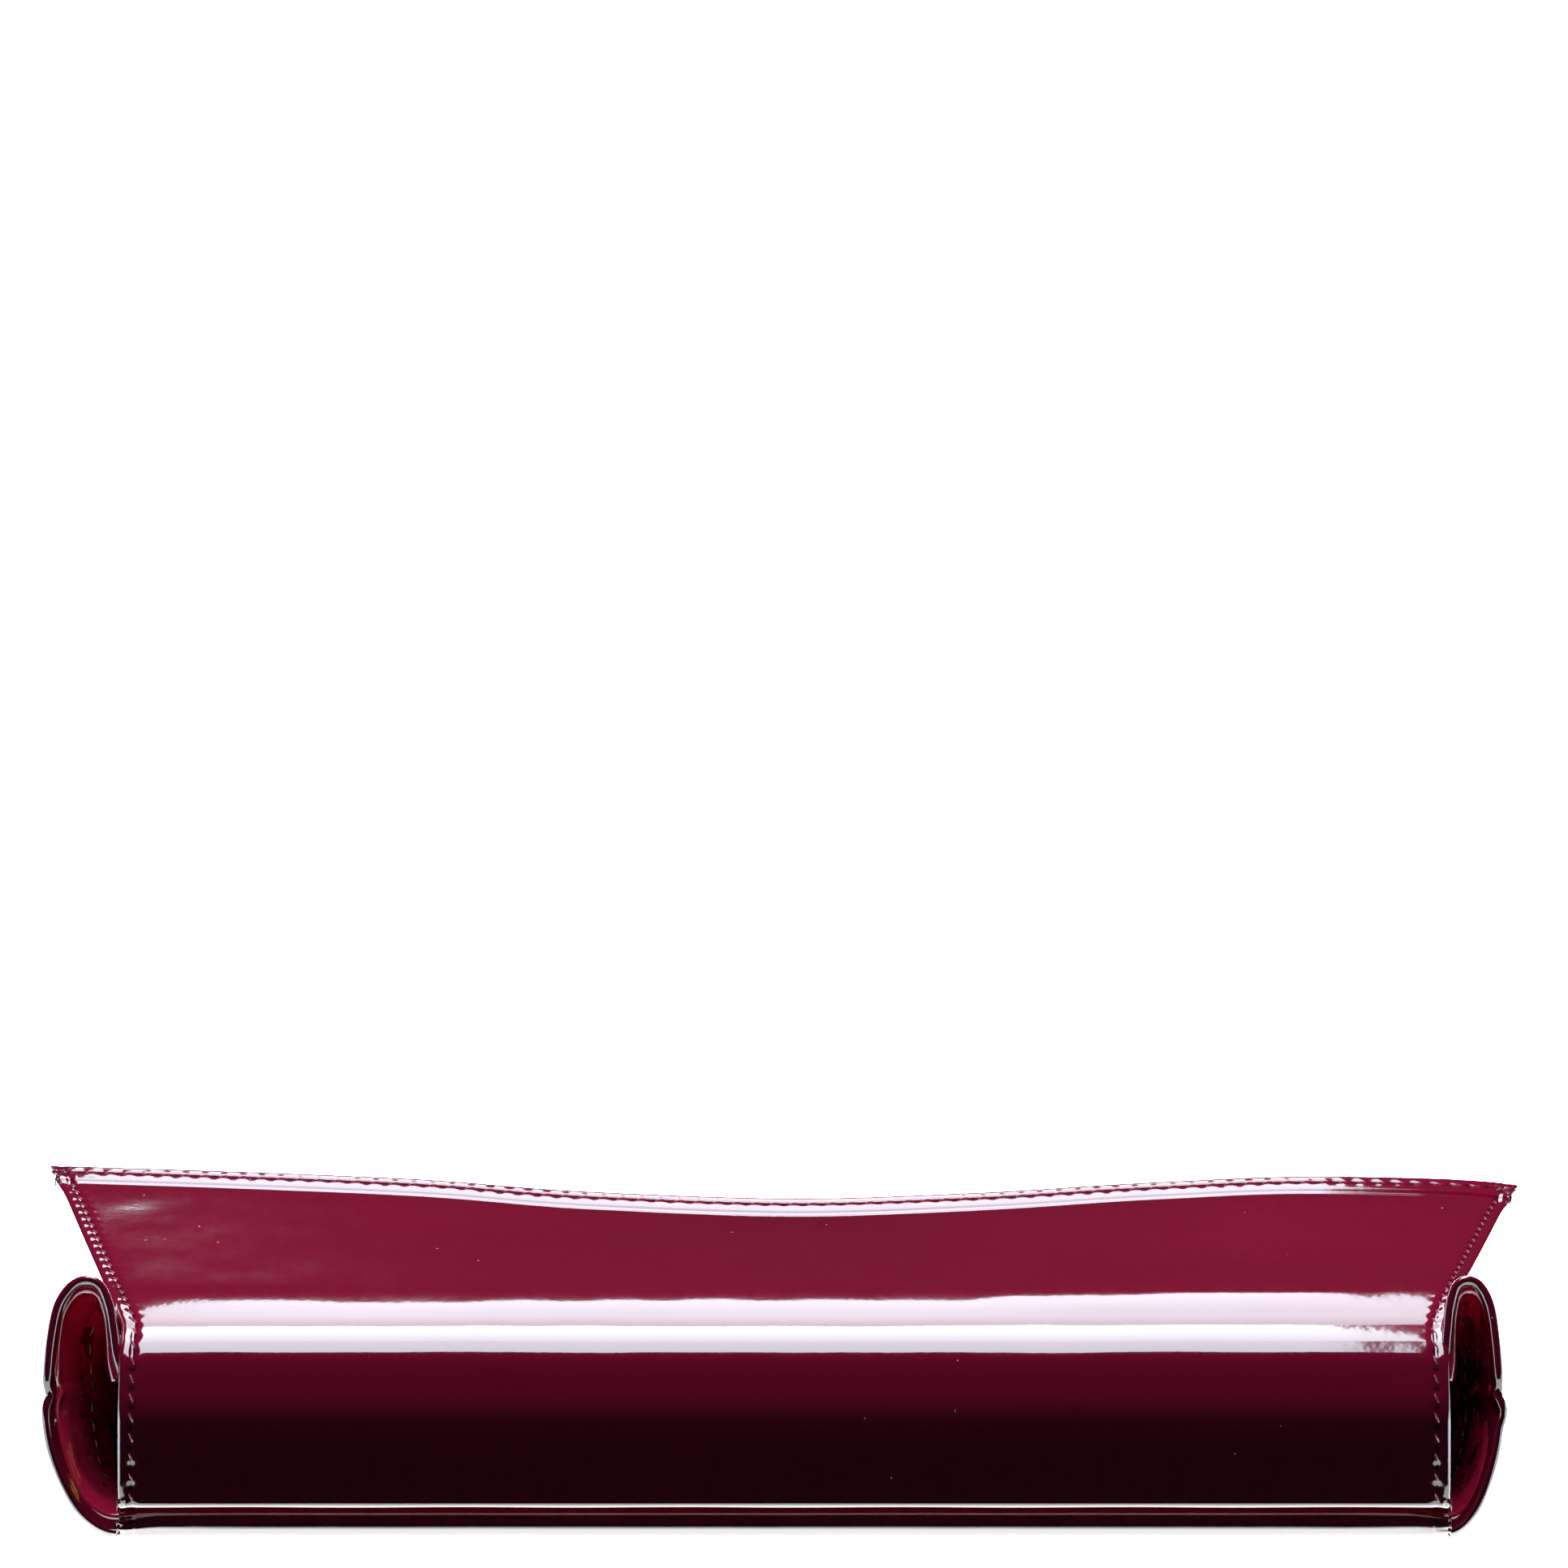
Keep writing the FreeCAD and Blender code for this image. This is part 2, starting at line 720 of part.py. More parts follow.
def zip_slider():
    """A channel that runs over the teeth, with two ears that hold the pull's pin."""
    body = new_body("zip_slider")
    inner = "(sizes.chain_width / 2 + sizes.slider_gap)"
    outer = f"({inner} + sizes.slider_wall)"
    lip = "(sizes.tape + sizes.slider_gap)"
    face = "(sizes.chain_depth + sizes.slider_gap)"
    back = f"({face} + sizes.slider_wall)"
    channel = [
        (f"-{lip}", f"-{outer}"),
        (f"-{back}", f"-{outer}"),
        (f"-{back}", outer),
        (f"-{lip}", outer),
        (f"-{lip}", inner),
        (f"-{face}", inner),
        (f"-{face}", f"-{inner}"),
        (f"-{lip}", f"-{inner}"),
    ]
    pad_along(body, sketch_on(body, "YZ_Plane", channel), "sizes.slider_length")
    keep(body, "zip_slider", vector(slider_start(), size("pocket_mouth_y"), chain_middle()))


def bail_y():
    """Depth of the pull's pin."""
    face = size("chain_depth") + size("slider_gap") + size("slider_wall")
    return size("pocket_mouth_y") - face - size("bail_reach") / 2


def zip_bail():
    """Two ears and a pin on the slider, round which the pull swings."""
    reach, thick = size("bail_reach"), size("slider_wall")
    half = size("bail_spacing") / 2
    face = bail_y() + reach / 2
    at = slider_start()
    ears = [
        Part.makeBox(reach, reach, thick, vector(at - reach / 2, face - reach, chain_middle() + low))
        for low in (half, -half - thick)
    ]
    pin = Part.makeCylinder(
        size("bail_pin"), size("bail_spacing"), vector(at, bail_y(), chain_middle() - half)
    )
    feature("zip_bail", ears[0].multiFuse([ears[1], pin]))


def zip_pull():
    """A flat tab with an eye round the bail's pin. It lies along the chain."""
    eye_hole = size("bail_pin") + size("pull_gap")
    eye = eye_hole + size("pull_gap") * 2
    wide = size("bail_spacing") - 2 * size("pull_gap")
    at, deep, middle = slider_start(), bail_y(), chain_middle()
    barrel = Part.makeCylinder(eye, wide, vector(at, deep, middle - wide / 2))
    half = size("pull_thick") / 2
    tab = Part.makeBox(
        size("pull_length"), 2 * half, wide, vector(at, deep - half, middle - wide / 2)
    )
    hole = Part.makeCylinder(eye_hole, 2 * wide, vector(at, deep, middle - wide))
    feature("zip_pull", barrel.fuse(tab).cut(hole))


# ---------------------------------------------------------------- assembly

back_panel()
lip_core()
back_layers()
card_slots()
gussets()
front_panel()
snap_socket()
washer("snap_socket_washer", socket_axis(), -LEATHER - size("washer"))
coin_pocket()
zip_tapes()
zip_chain()
zip_stops()
zip_slider()
zip_bail()
zip_pull()
neck_and_flap()
snap_stud()
washer("snap_stud_washer", stud_axis(), LINING)

doc.recompute()

for item in doc.Objects:
    if {"Invalid", "Error"} & set(item.State):
        raise ValueError(f"{item.Label} did not recompute: {item.State}")
for piece in pieces:
    if piece.Shape.isNull() or not piece.Shape.isValid():
        raise ValueError(f"{piece.Label} has no valid shape")

os.makedirs("parts", exist_ok=True)
for piece in pieces:
    piece.Shape.exportStep(f"parts/{piece.Label}.step")
    box = piece.Shape.BoundBox
    print(f"{piece.Label:24s} X {box.XMin:8.2f} {box.XMax:8.2f}  Y {box.YMin:7.2f} {box.YMax:7.2f}"
          f"  Z {box.ZMin:6.2f} {box.ZMax:6.2f}  solids {len(piece.Shape.Solids)}")
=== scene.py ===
import math

import bmesh
import bpy
from mathutils import Matrix, Vector


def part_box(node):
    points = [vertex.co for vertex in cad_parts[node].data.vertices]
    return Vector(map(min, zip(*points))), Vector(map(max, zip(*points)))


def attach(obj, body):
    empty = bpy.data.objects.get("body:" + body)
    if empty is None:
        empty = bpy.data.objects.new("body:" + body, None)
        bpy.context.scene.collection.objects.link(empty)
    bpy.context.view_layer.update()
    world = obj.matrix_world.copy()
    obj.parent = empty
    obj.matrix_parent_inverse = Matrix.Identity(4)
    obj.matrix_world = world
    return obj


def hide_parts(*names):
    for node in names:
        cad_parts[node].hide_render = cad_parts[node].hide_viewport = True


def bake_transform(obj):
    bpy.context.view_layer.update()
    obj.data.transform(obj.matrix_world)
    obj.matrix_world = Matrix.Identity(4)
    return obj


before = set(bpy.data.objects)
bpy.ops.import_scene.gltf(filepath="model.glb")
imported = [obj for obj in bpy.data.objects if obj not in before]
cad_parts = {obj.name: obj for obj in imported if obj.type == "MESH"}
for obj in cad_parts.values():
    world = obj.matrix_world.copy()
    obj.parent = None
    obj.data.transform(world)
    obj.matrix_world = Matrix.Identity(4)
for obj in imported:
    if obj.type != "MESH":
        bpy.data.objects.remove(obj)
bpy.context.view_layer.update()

bl_info = {
    "name": "Long Wallet",
    "version": (1, 0, 0),
    "blender": (4, 5, 0),
    "location": "3D View > Sidebar > Long Wallet",
    "description": "Models the leather, lining, seams and metal parts of a flap wallet on its CAD frame",
    "category": "Object",
}

MM = 0.001

# Depths are measured from the front of the lip, as on the pattern; heights from the table.
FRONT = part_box("back_panel")[0].y / MM
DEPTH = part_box("back_panel")[1].y / MM - FRONT
MOUTH_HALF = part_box("neck_leather")[1].x / MM
BOTTOM_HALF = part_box("back_panel")[1].x / MM
MOUTH_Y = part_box("front_panel")[0].y / MM - FRONT
MOUTH_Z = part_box("front_panel")[1].z / MM
FLAP_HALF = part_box("flap_leather")[1].x / MM
EDGE_SETBACK = 3.8  # the soft flap ends this far inside its CAD solid
FLAP_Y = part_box("flap_leather")[1].y / MM - FRONT - EDGE_SETBACK
FLARE_Y = 14.0
EAR_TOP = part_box("gusset_outer_left")[1].z / MM


def at(x, y, z):
    """A point given in millimetres on the pattern, in the frame's metres."""
    return Vector((x, y + FRONT, z)) * MM


def clamp(value, low=0.0, high=1.0):
    return min(max(value, low), high)


def smooth(value):
    """A soft step from 0 to 1."""
    share = clamp(value)
    return share * share * (3 - 2 * share)


def linear(code):
    """An sRGB hex colour as linear red, green, blue and alpha."""
    parts = [int(code[place:place + 2], 16) / 255 for place in (1, 3, 5)]
    return [part / 12.92 if part < 0.04045 else ((part + 0.055) / 1.055) ** 2.4 for part in parts] + [1.0]


class Curve:
    """A smooth curve through a few points, walked by its length."""

    def __init__(self, points, steps=16):
        ends = [points[0]] + list(points) + [points[-1]]
        self.points = [Vector(points[0])]
        for before, start, stop, after in zip(ends, ends[1:], ends[2:], ends[3:]):
            for step in range(1, steps + 1):
                self.points.append(self._between(before, start, stop, after, step / steps))
        self.marks = [0.0]
        for here, there in zip(self.points, self.points[1:]):
            self.marks.append(self.marks[-1] + (there - here).length)
        self.length = self.marks[-1]

    @staticmethod
    def _between(before, start, stop, after, share):
        """Barry and Goldman's form of the centripetal spline, which never loops."""
        before, start, stop, after = map(Vector, (before, start, stop, after))
        knots = [0.0]
        for here, there in ((before, start), (start, stop), (stop, after)):
            knots.append(knots[-1] + max((there - here).length, 1e-4) ** 0.5)
        now = knots[1] + (knots[2] - knots[1]) * share

        def mix(one, two, low, high):
            return one * ((high - now) / (high - low)) + two * ((now - low) / (high - low))

        first = mix(before, start, knots[0], knots[1])
        second = mix(start, stop, knots[1], knots[2])
        third = mix(stop, after, knots[2], knots[3])
        return mix(mix(first, second, knots[0], knots[2]), mix(second, third, knots[1], knots[3]),
                   knots[1], knots[2])

    def at(self, run):
        run = clamp(run, 0.0, self.length)
        low, high = 0, len(self.marks) - 1
        while high - low > 1:
            middle = (low + high) // 2
            if self.marks[middle] <= run:
                low = middle
            else:
                high = middle
        span = max(self.marks[high] - self.marks[low], 1e-9)
        return self.points[low].lerp(self.points[high], (run - self.marks[low]) / span)


# ---------------------------------------------------------------- sizes a maker would change


class LeatherSizes(bpy.types.PropertyGroup):
    """Sizes of the leather work, in millimetres."""

    skin: bpy.props.FloatProperty(
        name="Outer leather", description="Thickness of the outer skin with its turned edge", default=1.1)
    flap: bpy.props.FloatProperty(
        name="Flap", description="Thickness of the flap at its turned edge", default=2.0)
    gusset: bpy.props.FloatProperty(
        name="Gusset", description="Thickness of a gusset at its rolled rim", default=1.35)
    seam_inset: bpy.props.FloatProperty(
        name="Seam inset", description="Distance of a seam from the edge beside it", default=1.9)
    hem: bpy.props.FloatProperty(
        name="Hem", description="Width of the turned hem on the flap's free edge", default=5.3)
    hem_rise: bpy.props.FloatProperty(
        name="Hem rise", description="How far the hem stands over the flap", default=0.45)
    stitch_pitch: bpy.props.FloatProperty(
        name="Stitch pitch", description="Length from one stitch to the next", default=2.7)
    stitch_width: bpy.props.FloatProperty(
        name="Thread width", description="Width of the sewing thread", default=0.34)


class FinishColours(bpy.types.PropertyGroup):
    """Colours of the finishes, as sRGB hex codes."""

    patent: bpy.props.StringProperty(
        name="Patent leather", description="Burgundy under the lacquer", default="#780A2A")
    patent_deep: bpy.props.StringProperty(
        name="Patent leather, deep", description="Burgundy where the dye lies thicker", default="#6C0826")
    inside: bpy.props.StringProperty(
        name="Inner leather", description="Card slots and coin pocket", default="#7A1630")
    # painted light: the inner gusset is the same patent leather as the outer one, made far lighter to stand
    # in for the light that reaches the hollows of the gussets
    gusset_inside_painted_light: bpy.props.StringProperty(
        name="Gusset leather", description="Inner layer of the gussets", default="#DC2450")
    lining: bpy.props.StringProperty(
        name="Lining", description="Woven lining", default="#5A0E22")
    thread: bpy.props.StringProperty(
        name="Thread", description="Sewing thread", default="#8E2A44")
    brass: bpy.props.StringProperty(
        name="Zip brass", description="Teeth, slider and pull", default="#D9B873")
    nickel: bpy.props.StringProperty(
        name="Snap nickel", description="Snap halves and washers", default="#C9C6C1")


def sizes():
    return bpy.context.scene.wallet_sizes


def colours():
    return bpy.context.scene.wallet_colours


# ---------------------------------------------------------------- materials


# painted shade: a near-black colour laid in the stitch holes, standing in for the shade inside them; the mesh
# only dents the seam
HOLE_SHADE_COLOUR = "#14030A"
# depths in millimetres, and how fast each part of a seam dies away beside it
FURROW_DEPTH, FURROW_FALL = 0.09, 5.0
PUCKER_DEPTH, PUCKER_FALL = 0.03, 1.1
HOLE_SHADE_FALL = 6.0


class Paint:
    """A node material under construction, on its piece's Object coordinates."""

    def __init__(self, name):
        self.material = bpy.data.materials.new(name)
        self.material.use_nodes = True
        self.material.node_tree.nodes.clear()
        self.end = self.node("ShaderNodeOutputMaterial")
        self.spot = self.node("ShaderNodeTexCoord").outputs["Object"]

    def node(self, kind, inputs=None, **settings):
        """Add a node, set its sockets or properties by name, and link others into its inputs."""
        tree = self.material.node_tree
        node = tree.nodes.new(kind)
        for name, value in settings.items():
            label = name.replace("_", " ")
            if label in node.inputs:
                node.inputs[label].default_value = value
            elif hasattr(node, name):
                setattr(node, name, value)
            else:
                raise ValueError(f"{kind} has nothing called {name}")
        for socket, source in (inputs or {}).items():
            if isinstance(source, bpy.types.NodeSocket):
                tree.links.new(source, node.inputs[socket])
            else:
                node.inputs[socket].default_value = source
        return node

    def math(self, operation, first, second=0.0, third=0.0):
        node = self.node("ShaderNodeMath", {0: first, 1: second, 2: third}, operation=operation)
        return node.outputs["Value"]

    def scaled(self, value, factor, plus=0.0):
        """A value times a factor, and something added."""
        return self.math("MULTIPLY_ADD", value, factor, plus)

    def turned(self, degrees=(0, 0, 0), stretch=(1, 1, 1)):
        """Coordinates turned and scaled about the piece's origin."""
        turn = [math.radians(angle) for angle in degrees]
        mapping = self.node("ShaderNodeMapping", {"Vector": self.spot}, Rotation=turn, Scale=stretch)
        return mapping.outputs["Vector"]

    def texture(self, kind, cell, spot=None, **settings):
        """A texture whose cells are this many millimetres wide."""
        inputs = {"Vector": spot or self.spot}
        return self.node(f"ShaderNodeTex{kind}", inputs, Scale=1 / (cell * MM), **settings)

    def noise(self, cell, detail, spot=None):
        """Soft clouds from 0 to 1."""
        return self.texture("Noise", cell, spot, Detail=detail).outputs["Fac"]

    def cells(self, cell, spot=None):
        """Distance from the nearest of scattered points."""
        return self.texture("Voronoi", cell, spot).outputs["Distance"]

    def mixed(self, share, under, over):
        """One colour over another by a share."""
        mix = self.node("ShaderNodeMix", {"Factor": share, "A": under, "B": over}, data_type="RGBA")
        return mix.outputs["Result"]

    def toned(self, code, shade):
        """A hex colour made darker or lighter by a shade round 1."""
        return self.node("ShaderNodeHueSaturation", {"Color": linear(code), "Value": shade}).outputs["Color"]

    def relief(self, height, depth=1.0):
        """The normal of a height, where 1 stands for this many millimetres."""
        return self.node("ShaderNodeBump", {"Height": height}, Distance=depth * MM).outputs["Normal"]

    def seam(self):
        """Height round a seam, from the piece's own seam attributes, and a share that is 1 in its holes,
        where painted shade darkens them. The seam is a furrow that each stitch pinches."""
        gap, run = [self.node("ShaderNodeAttribute", attribute_name=name).outputs["Fac"]
                    for name in ("seam_gap", "seam_run")]
        square = self.math("MULTIPLY", gap, gap)
        furrow, pucker, hole_shade = [self.math("EXPONENT", self.scaled(square, -fall))
                                for fall in (FURROW_FALL, PUCKER_FALL, HOLE_SHADE_FALL)]
        beat = self.math("COSINE", self.scaled(run, 2 * math.pi / sizes().stitch_pitch))
        pinched = self.math("MULTIPLY", pucker, self.scaled(beat, -PUCKER_DEPTH))
        sharp = self.math("POWER", self.scaled(beat, 0.5, 0.5), 6.0)
        return self.scaled(furrow, -FURROW_DEPTH, pinched), self.math("MULTIPLY", sharp, hole_shade)

    def surface(self, inputs, **settings):
        """Close the material with one Principled shader."""
        shader = self.node("ShaderNodeBsdfPrincipled", inputs, **settings)
        self.material.node_tree.links.new(shader.outputs["BSDF"], self.end.inputs["Surface"])
        return self.material


def patent_leather(name, first, second, wave, dustiness):
    """Calf leather under a poured clear lacquer: a dyed, even ground with a wet, mirror-like gloss
    over it, faint orange peel, shallow dents, and a little dust and scratching."""
    paint = Paint(name)
    dyed = paint.mixed(paint.noise(24, 3.0), linear(first), linear(second))
    speck = paint.math("LESS_THAN", paint.cells(5.2), 0.03)
    scratch = paint.math("LESS_THAN", paint.cells(1.9, paint.turned((0, 0, 38), (1.0, 0.06, 1.0))), 0.011)
    patchy = paint.math("GREATER_THAN", paint.noise(31, 1.0), 0.52)
    marks = paint.scaled(paint.math("MULTIPLY", paint.math("MAXIMUM", speck, scratch), patchy), dustiness)
    height, hole_shade = paint.seam()
    # painted shade: near-black in the stitch holes, over the dyed ground with its dust and scratches
    hole_shaded = paint.mixed(hole_shade, paint.mixed(marks, dyed, linear("#B79BA2")), linear(HOLE_SHADE_COLOUR))
    peel = paint.noise(2.6, 2.0)
    for texture, depth in ((peel, 0.004), (paint.cells(0.9), 0.0015), (paint.noise(19, 1.0), 0.22)):
        height = paint.scaled(texture, depth * wave, height)
    normal = paint.relief(height)
    rough = paint.scaled(marks, 0.4, paint.scaled(peel, 0.06, 0.05))
    return paint.surface({"Base Color": hole_shaded, "Roughness": rough, "Normal": normal, "Coat Normal": normal},
                         IOR=1.5, Coat_Weight=1.0, Coat_Roughness=0.04, Coat_IOR=1.55)


def grain_leather(name, code, grain_mm, gloss):
    """Drum-dyed goat leather, plated and waxed: a satin gloss broken by small pebbles and pores."""
    paint = Paint(name)
    pebble, pore = paint.cells(grain_mm), paint.noise(grain_mm / 3, 4.0)
    height, hole_shade = paint.seam()
    shade = paint.scaled(pebble, -0.18, paint.scaled(paint.noise(17, 3.0), 0.5, 0.72))
    height = paint.scaled(pore, 0.04, paint.scaled(pebble, -0.06, height))
    # painted shade: near-black in the stitch holes
    return paint.surface({"Base Color": paint.mixed(hole_shade, paint.toned(code, shade), linear(HOLE_SHADE_COLOUR)),
                          "Roughness": paint.scaled(pore, 0.2, 0.5 - gloss), "Normal": paint.relief(height)},
                         IOR=1.48, Coat_Weight=0.25, Coat_Roughness=0.25)


def woven_cloth(name, code, thread_mm):
    """Plain-woven polyester: fine threads that cross over and under, with a soft sheen."""
    paint = Paint(name)
    split = paint.node("ShaderNodeSeparateXYZ", {"Vector": paint.spot}).outputs
    turn = 2 * math.pi / (thread_mm * MM)
    depth = paint.math("ADD", split["Y"], split["Z"])
    across, along = [paint.math("SINE", paint.scaled(place, turn)) for place in (split["X"], depth)]
    weave = paint.math("MULTIPLY", across, along)
    fuzz = paint.noise(0.5, 3.0)
    shade = paint.scaled(fuzz, 0.4, paint.scaled(weave, 0.3, 0.8))
    return paint.surface({"Base Color": paint.toned(code, shade),
                          "Normal": paint.relief(paint.scaled(fuzz, 0.3, weave), 0.08)},
                         Roughness=0.72, Sheen_Weight=0.08, Sheen_Roughness=0.4)


def twisted_thread(name, code):
    """Bonded polyester thread: a tight twist with a waxed, silky gloss."""
    paint = Paint(name)
    ply = paint.texture("Wave", 1.2, paint.turned((40, 35, 45))).outputs["Fac"]
    return paint.surface({"Base Color": paint.toned(code, paint.scaled(ply, 0.5, 0.7)),
                          "Normal": paint.relief(ply, 0.05)},
                         Roughness=0.34, Coat_Weight=0.4, Coat_Roughness=0.2)


def polished_metal(name, code, scratch_mm, gloss):
    """Barrel-polished plated metal: bright, with fine hairlines and a slightly cloudy reflection."""
    paint = Paint(name)
    hair = paint.noise(scratch_mm, 3.0, paint.turned(stretch=(1.0, 0.15, 1.0)))
    return paint.surface({"Base Color": paint.toned(code, paint.scaled(paint.noise(3, 2.0), 0.3, 0.85)),
                          "Roughness": paint.scaled(hair, 0.16, 0.3 - gloss),
                          "Normal": paint.relief(hair, 0.01)},
                         Metallic=1.0)


def fibre_board(name, code):
    """Pressed cellulose board: matt, with short pale fibres."""
    paint = Paint(name)
    fibre = paint.noise(0.7, 5.0)
    return paint.surface({"Base Color": paint.toned(code, paint.scaled(fibre, 0.6, 0.7)),
                          "Normal": paint.relief(fibre, 0.06)}, Roughness=0.85)


def finish(key):
    """The material for a finish, made the first time that it is asked for."""
    tints = colours()
    makers = {
        "patent_leather_burgundy": (patent_leather, tints.patent, tints.patent_deep, 1.0, 0.8),
        # painted light: the inner gusset's patent leather, far lighter than the outer one
        "patent_leather_inner": (patent_leather, tints.gusset_inside_painted_light, tints.gusset_inside_painted_light, 2.2, 0.3),
        "goat_leather_plated": (grain_leather, tints.inside, 0.9, 0.22),
        "polyester_lining_woven": (woven_cloth, tints.lining, 0.45),
        "zip_tape_woven": (woven_cloth, tints.inside, 0.6),
        "bonded_thread": (twisted_thread, tints.thread),
        "brass_polished": (polished_metal, tints.brass, 0.2, 0.18),
        "nickel_plated": (polished_metal, tints.nickel, 0.3, 0.16),
        "cellulose_board": (fibre_board, "#3A302A"),
        "cotton_piping": (woven_cloth, "#C8C0B0", 0.5),
    }
    make, *values = makers[key]
    return bpy.data.materials.get(key) or make(key, *values)


def dress(piece, key):
    """Give a piece one finish all over."""
    piece.data.materials.clear()
    piece.data.materials.append(finish(key))


# ---------------------------------------------------------------- sheets


def deselect():
    bpy.ops.object.select_all(action="DESELECT")


def only(piece):
    """Make one object the active and selected one."""
    deselect()
    piece.select_set(True)
    bpy.context.view_layer.objects.active = piece


def join(pieces, name):
    """Join pieces into one."""
    deselect()
    for piece in pieces:
        piece.select_set(True)
    bpy.context.view_layer.objects.active = pieces[0]
    bpy.ops.object.join()
    whole = bpy.context.object
    whole.name = name
    return whole


def apply_modifier(piece, kind, **settings):
    """Add a modifier and apply it."""
    only(piece)
    modifier = piece.modifiers.new(kind.title(), kind)
    for name, value in settings.items():
        setattr(modifier, name, value)
    bpy.ops.object.modifier_apply(modifier=modifier.name)


NO_SEAM = (9.0, 0.0)  # a gap too wide for the seam to show
SHARP_EDGE = math.radians(60)


def add_sheet(name, across, down, place, seams=None):
    """A grid laid on a surface: across and down are the stations of its columns and rows.
    place(a, b) gives a point in millimetres; seams(a, b) gives the gap to a seam and the run along it."""
    deselect()
    bpy.ops.mesh.primitive_grid_add(x_subdivisions=len(across) - 1, y_subdivisions=len(down) - 1, size=2)
    piece = bpy.context.object
    piece.name = name
    piece.data.name = name
    mesh = piece.data
    gap = mesh.attributes.new("seam_gap", "FLOAT", "POINT")
    run = mesh.attributes.new("seam_run", "FLOAT", "POINT")
    for vertex in mesh.vertices:
        column = round((vertex.co.x + 1) / 2 * (len(across) - 1))
        row = round((vertex.co.y + 1) / 2 * (len(down) - 1))
        a, b = across[column], down[row]
        vertex.co = at(*place(a, b))
        gap.data[vertex.index].value, run.data[vertex.index].value = seams(a, b) if seams else NO_SEAM
    return piece


def round_edges(piece, width, chosen):
    """Round a skin's cut edges, those that chosen(middle, direction) picks."""
    shape = bmesh.new()
    shape.from_mesh(piece.data)
    weights = shape.edges.layers.float.new("bevel_weight_edge")
    for edge in shape.edges:
        ends = [vertex.co for vertex in edge.verts]
        sharp = len(edge.link_faces) == 2 and edge.calc_face_angle() > SHARP_EDGE
        if sharp and chosen((ends[0] + ends[1]) / 2, (ends[1] - ends[0]).normalized()):
            edge[weights] = 1.0
    shape.to_mesh(piece.data)
    shape.free()
    apply_modifier(piece, "BEVEL", width=width * MM, segments=3, limit_method="WEIGHT",
                   use_clamp_overlap=False)


def every_edge(middle, direction):
    return True


def thicken(piece, thickness, edge, inward=True, thin=None, even=True, chosen=every_edge):
    """Turn a sheet into a closed skin with rounded edges. thin(vertex) scales its thickness."""
    group = None
    if thin:
        group = piece.vertex_groups.new(name="thickness")
        for vertex in piece.data.vertices:
            group.add([vertex.index], thin(vertex.co), "REPLACE")
    solid = dict(thickness=thickness * MM, offset=-1.0 if inward else 1.0, use_even_offset=even, use_rim=True)
    if group:
        solid.update(vertex_group=group.name, thickness_vertex_group=0.05)
    apply_modifier(piece, "SOLIDIFY", **solid)
    round_edges(piece, edge, chosen)
    if group:
        piece.vertex_groups.clear()
    only(piece)
    bpy.ops.object.mode_set(mode="EDIT")
    bpy.ops.mesh.select_all(action="SELECT")
    bpy.ops.mesh.normals_make_consistent(inside=False)
    bpy.ops.object.mode_set(mode="OBJECT")
    bpy.ops.object.shade_smooth()
    return piece


def stations(*spans):
    """Evenly spaced stations over joined spans, each (start, stop, step)."""
    marks = [spans[0][0]]
    for start, stop, step in spans:
        count = max(round(abs(stop - start) / step), 1)
        marks += [start + (stop - start) * index / count for index in range(1, count + 1)]
    return marks


EDGE_BAND = 7.0  # width of the strip beside an edge that has its own columns


def edge_columns(middle_step=4.0):
    """Columns of a sheet, as (side, gap from the edge) near the edges and as shares between them."""
    near = [0.0, 0.85, 1.25, 1.6, 1.9, 2.2, 2.6, 3.2, 4.2, 5.6]  # dense about the seam
    count = round(2 * MOUTH_HALF / middle_step)
    middle = [("share", -1 + 2 * index / count) for index in range(1, count)]
    return [("left", gap) for gap in near] + middle + [("right", gap) for gap in reversed(near)]


def column_x(column, half):
    """Where a column lies on a sheet of this half width."""
    kind, value = column
    return {"left": -half + value, "right": half - value, "share": value * (half - EDGE_BAND)}[kind]


# ---------------------------------------------------------------- flap and neck


# depth and height of the outer surface, from inside the lip over the roll to the free edge
FLAP_PROFILE = Curve([
    (5.8, 4.75), (3.6, 4.8), (1.7, 4.85), (0.75, 5.05), (0.42, 5.45), (0.62, 6.2), (1.42, 9.6), (2.4, 13.6),
    (3.75, 17.8), (6.0, 21.2), (8.3, 23.95), (10.8, 25.7), (14.0, 26.7), (18.0, 27.2), (22.0, 27.45),
    (27.0, 27.5), (36.0, 26.98), (47.0, 26.15), (58.0, 25.28), (68.0, 24.45), (FLAP_Y, 23.5),
])
# how far the free edge stands over its middle, from the left corner to the right one
EDGE_LIFT = Curve([(-1.0, 4.9), (-0.74, 4.0), (-0.5, 2.9), (-0.26, 1.0), (0.02, 0.0), (0.25, 0.8),
                   (0.5, 2.4), (0.72, 3.3), (0.88, 3.0), (1.0, 2.0)])


def flap_half(y):
    """Half width of the neck and the flap."""
    flare = (FLAP_HALF - MOUTH_HALF) * max(y - FLARE_Y, 0) / (FLAP_Y - FLARE_Y)
    return MOUTH_HALF + flare + 0.9 * smooth((y - 64) / 16)


def edge_lift(share):
    """Height of the free edge over its middle at a share of the half width."""
    low, high = 0.0, EDGE_LIFT.length
    for _ in range(24):
        middle = (low + high) / 2
        if EDGE_LIFT.at(middle).x < share:
            low = middle
        else:
            high = middle
    return EDGE_LIFT.at(low).y


LIFT_TABLE = [edge_lift(-1 + index / 50) for index in range(101)]


def lift_at(share):
    """The same height, read between the steps of the table."""
    place = clamp((share + 1) * 50, 0, 99.999)
    low = int(place)
    return LIFT_TABLE[low] + (LIFT_TABLE[low + 1] - LIFT_TABLE[low]) * (place - low)


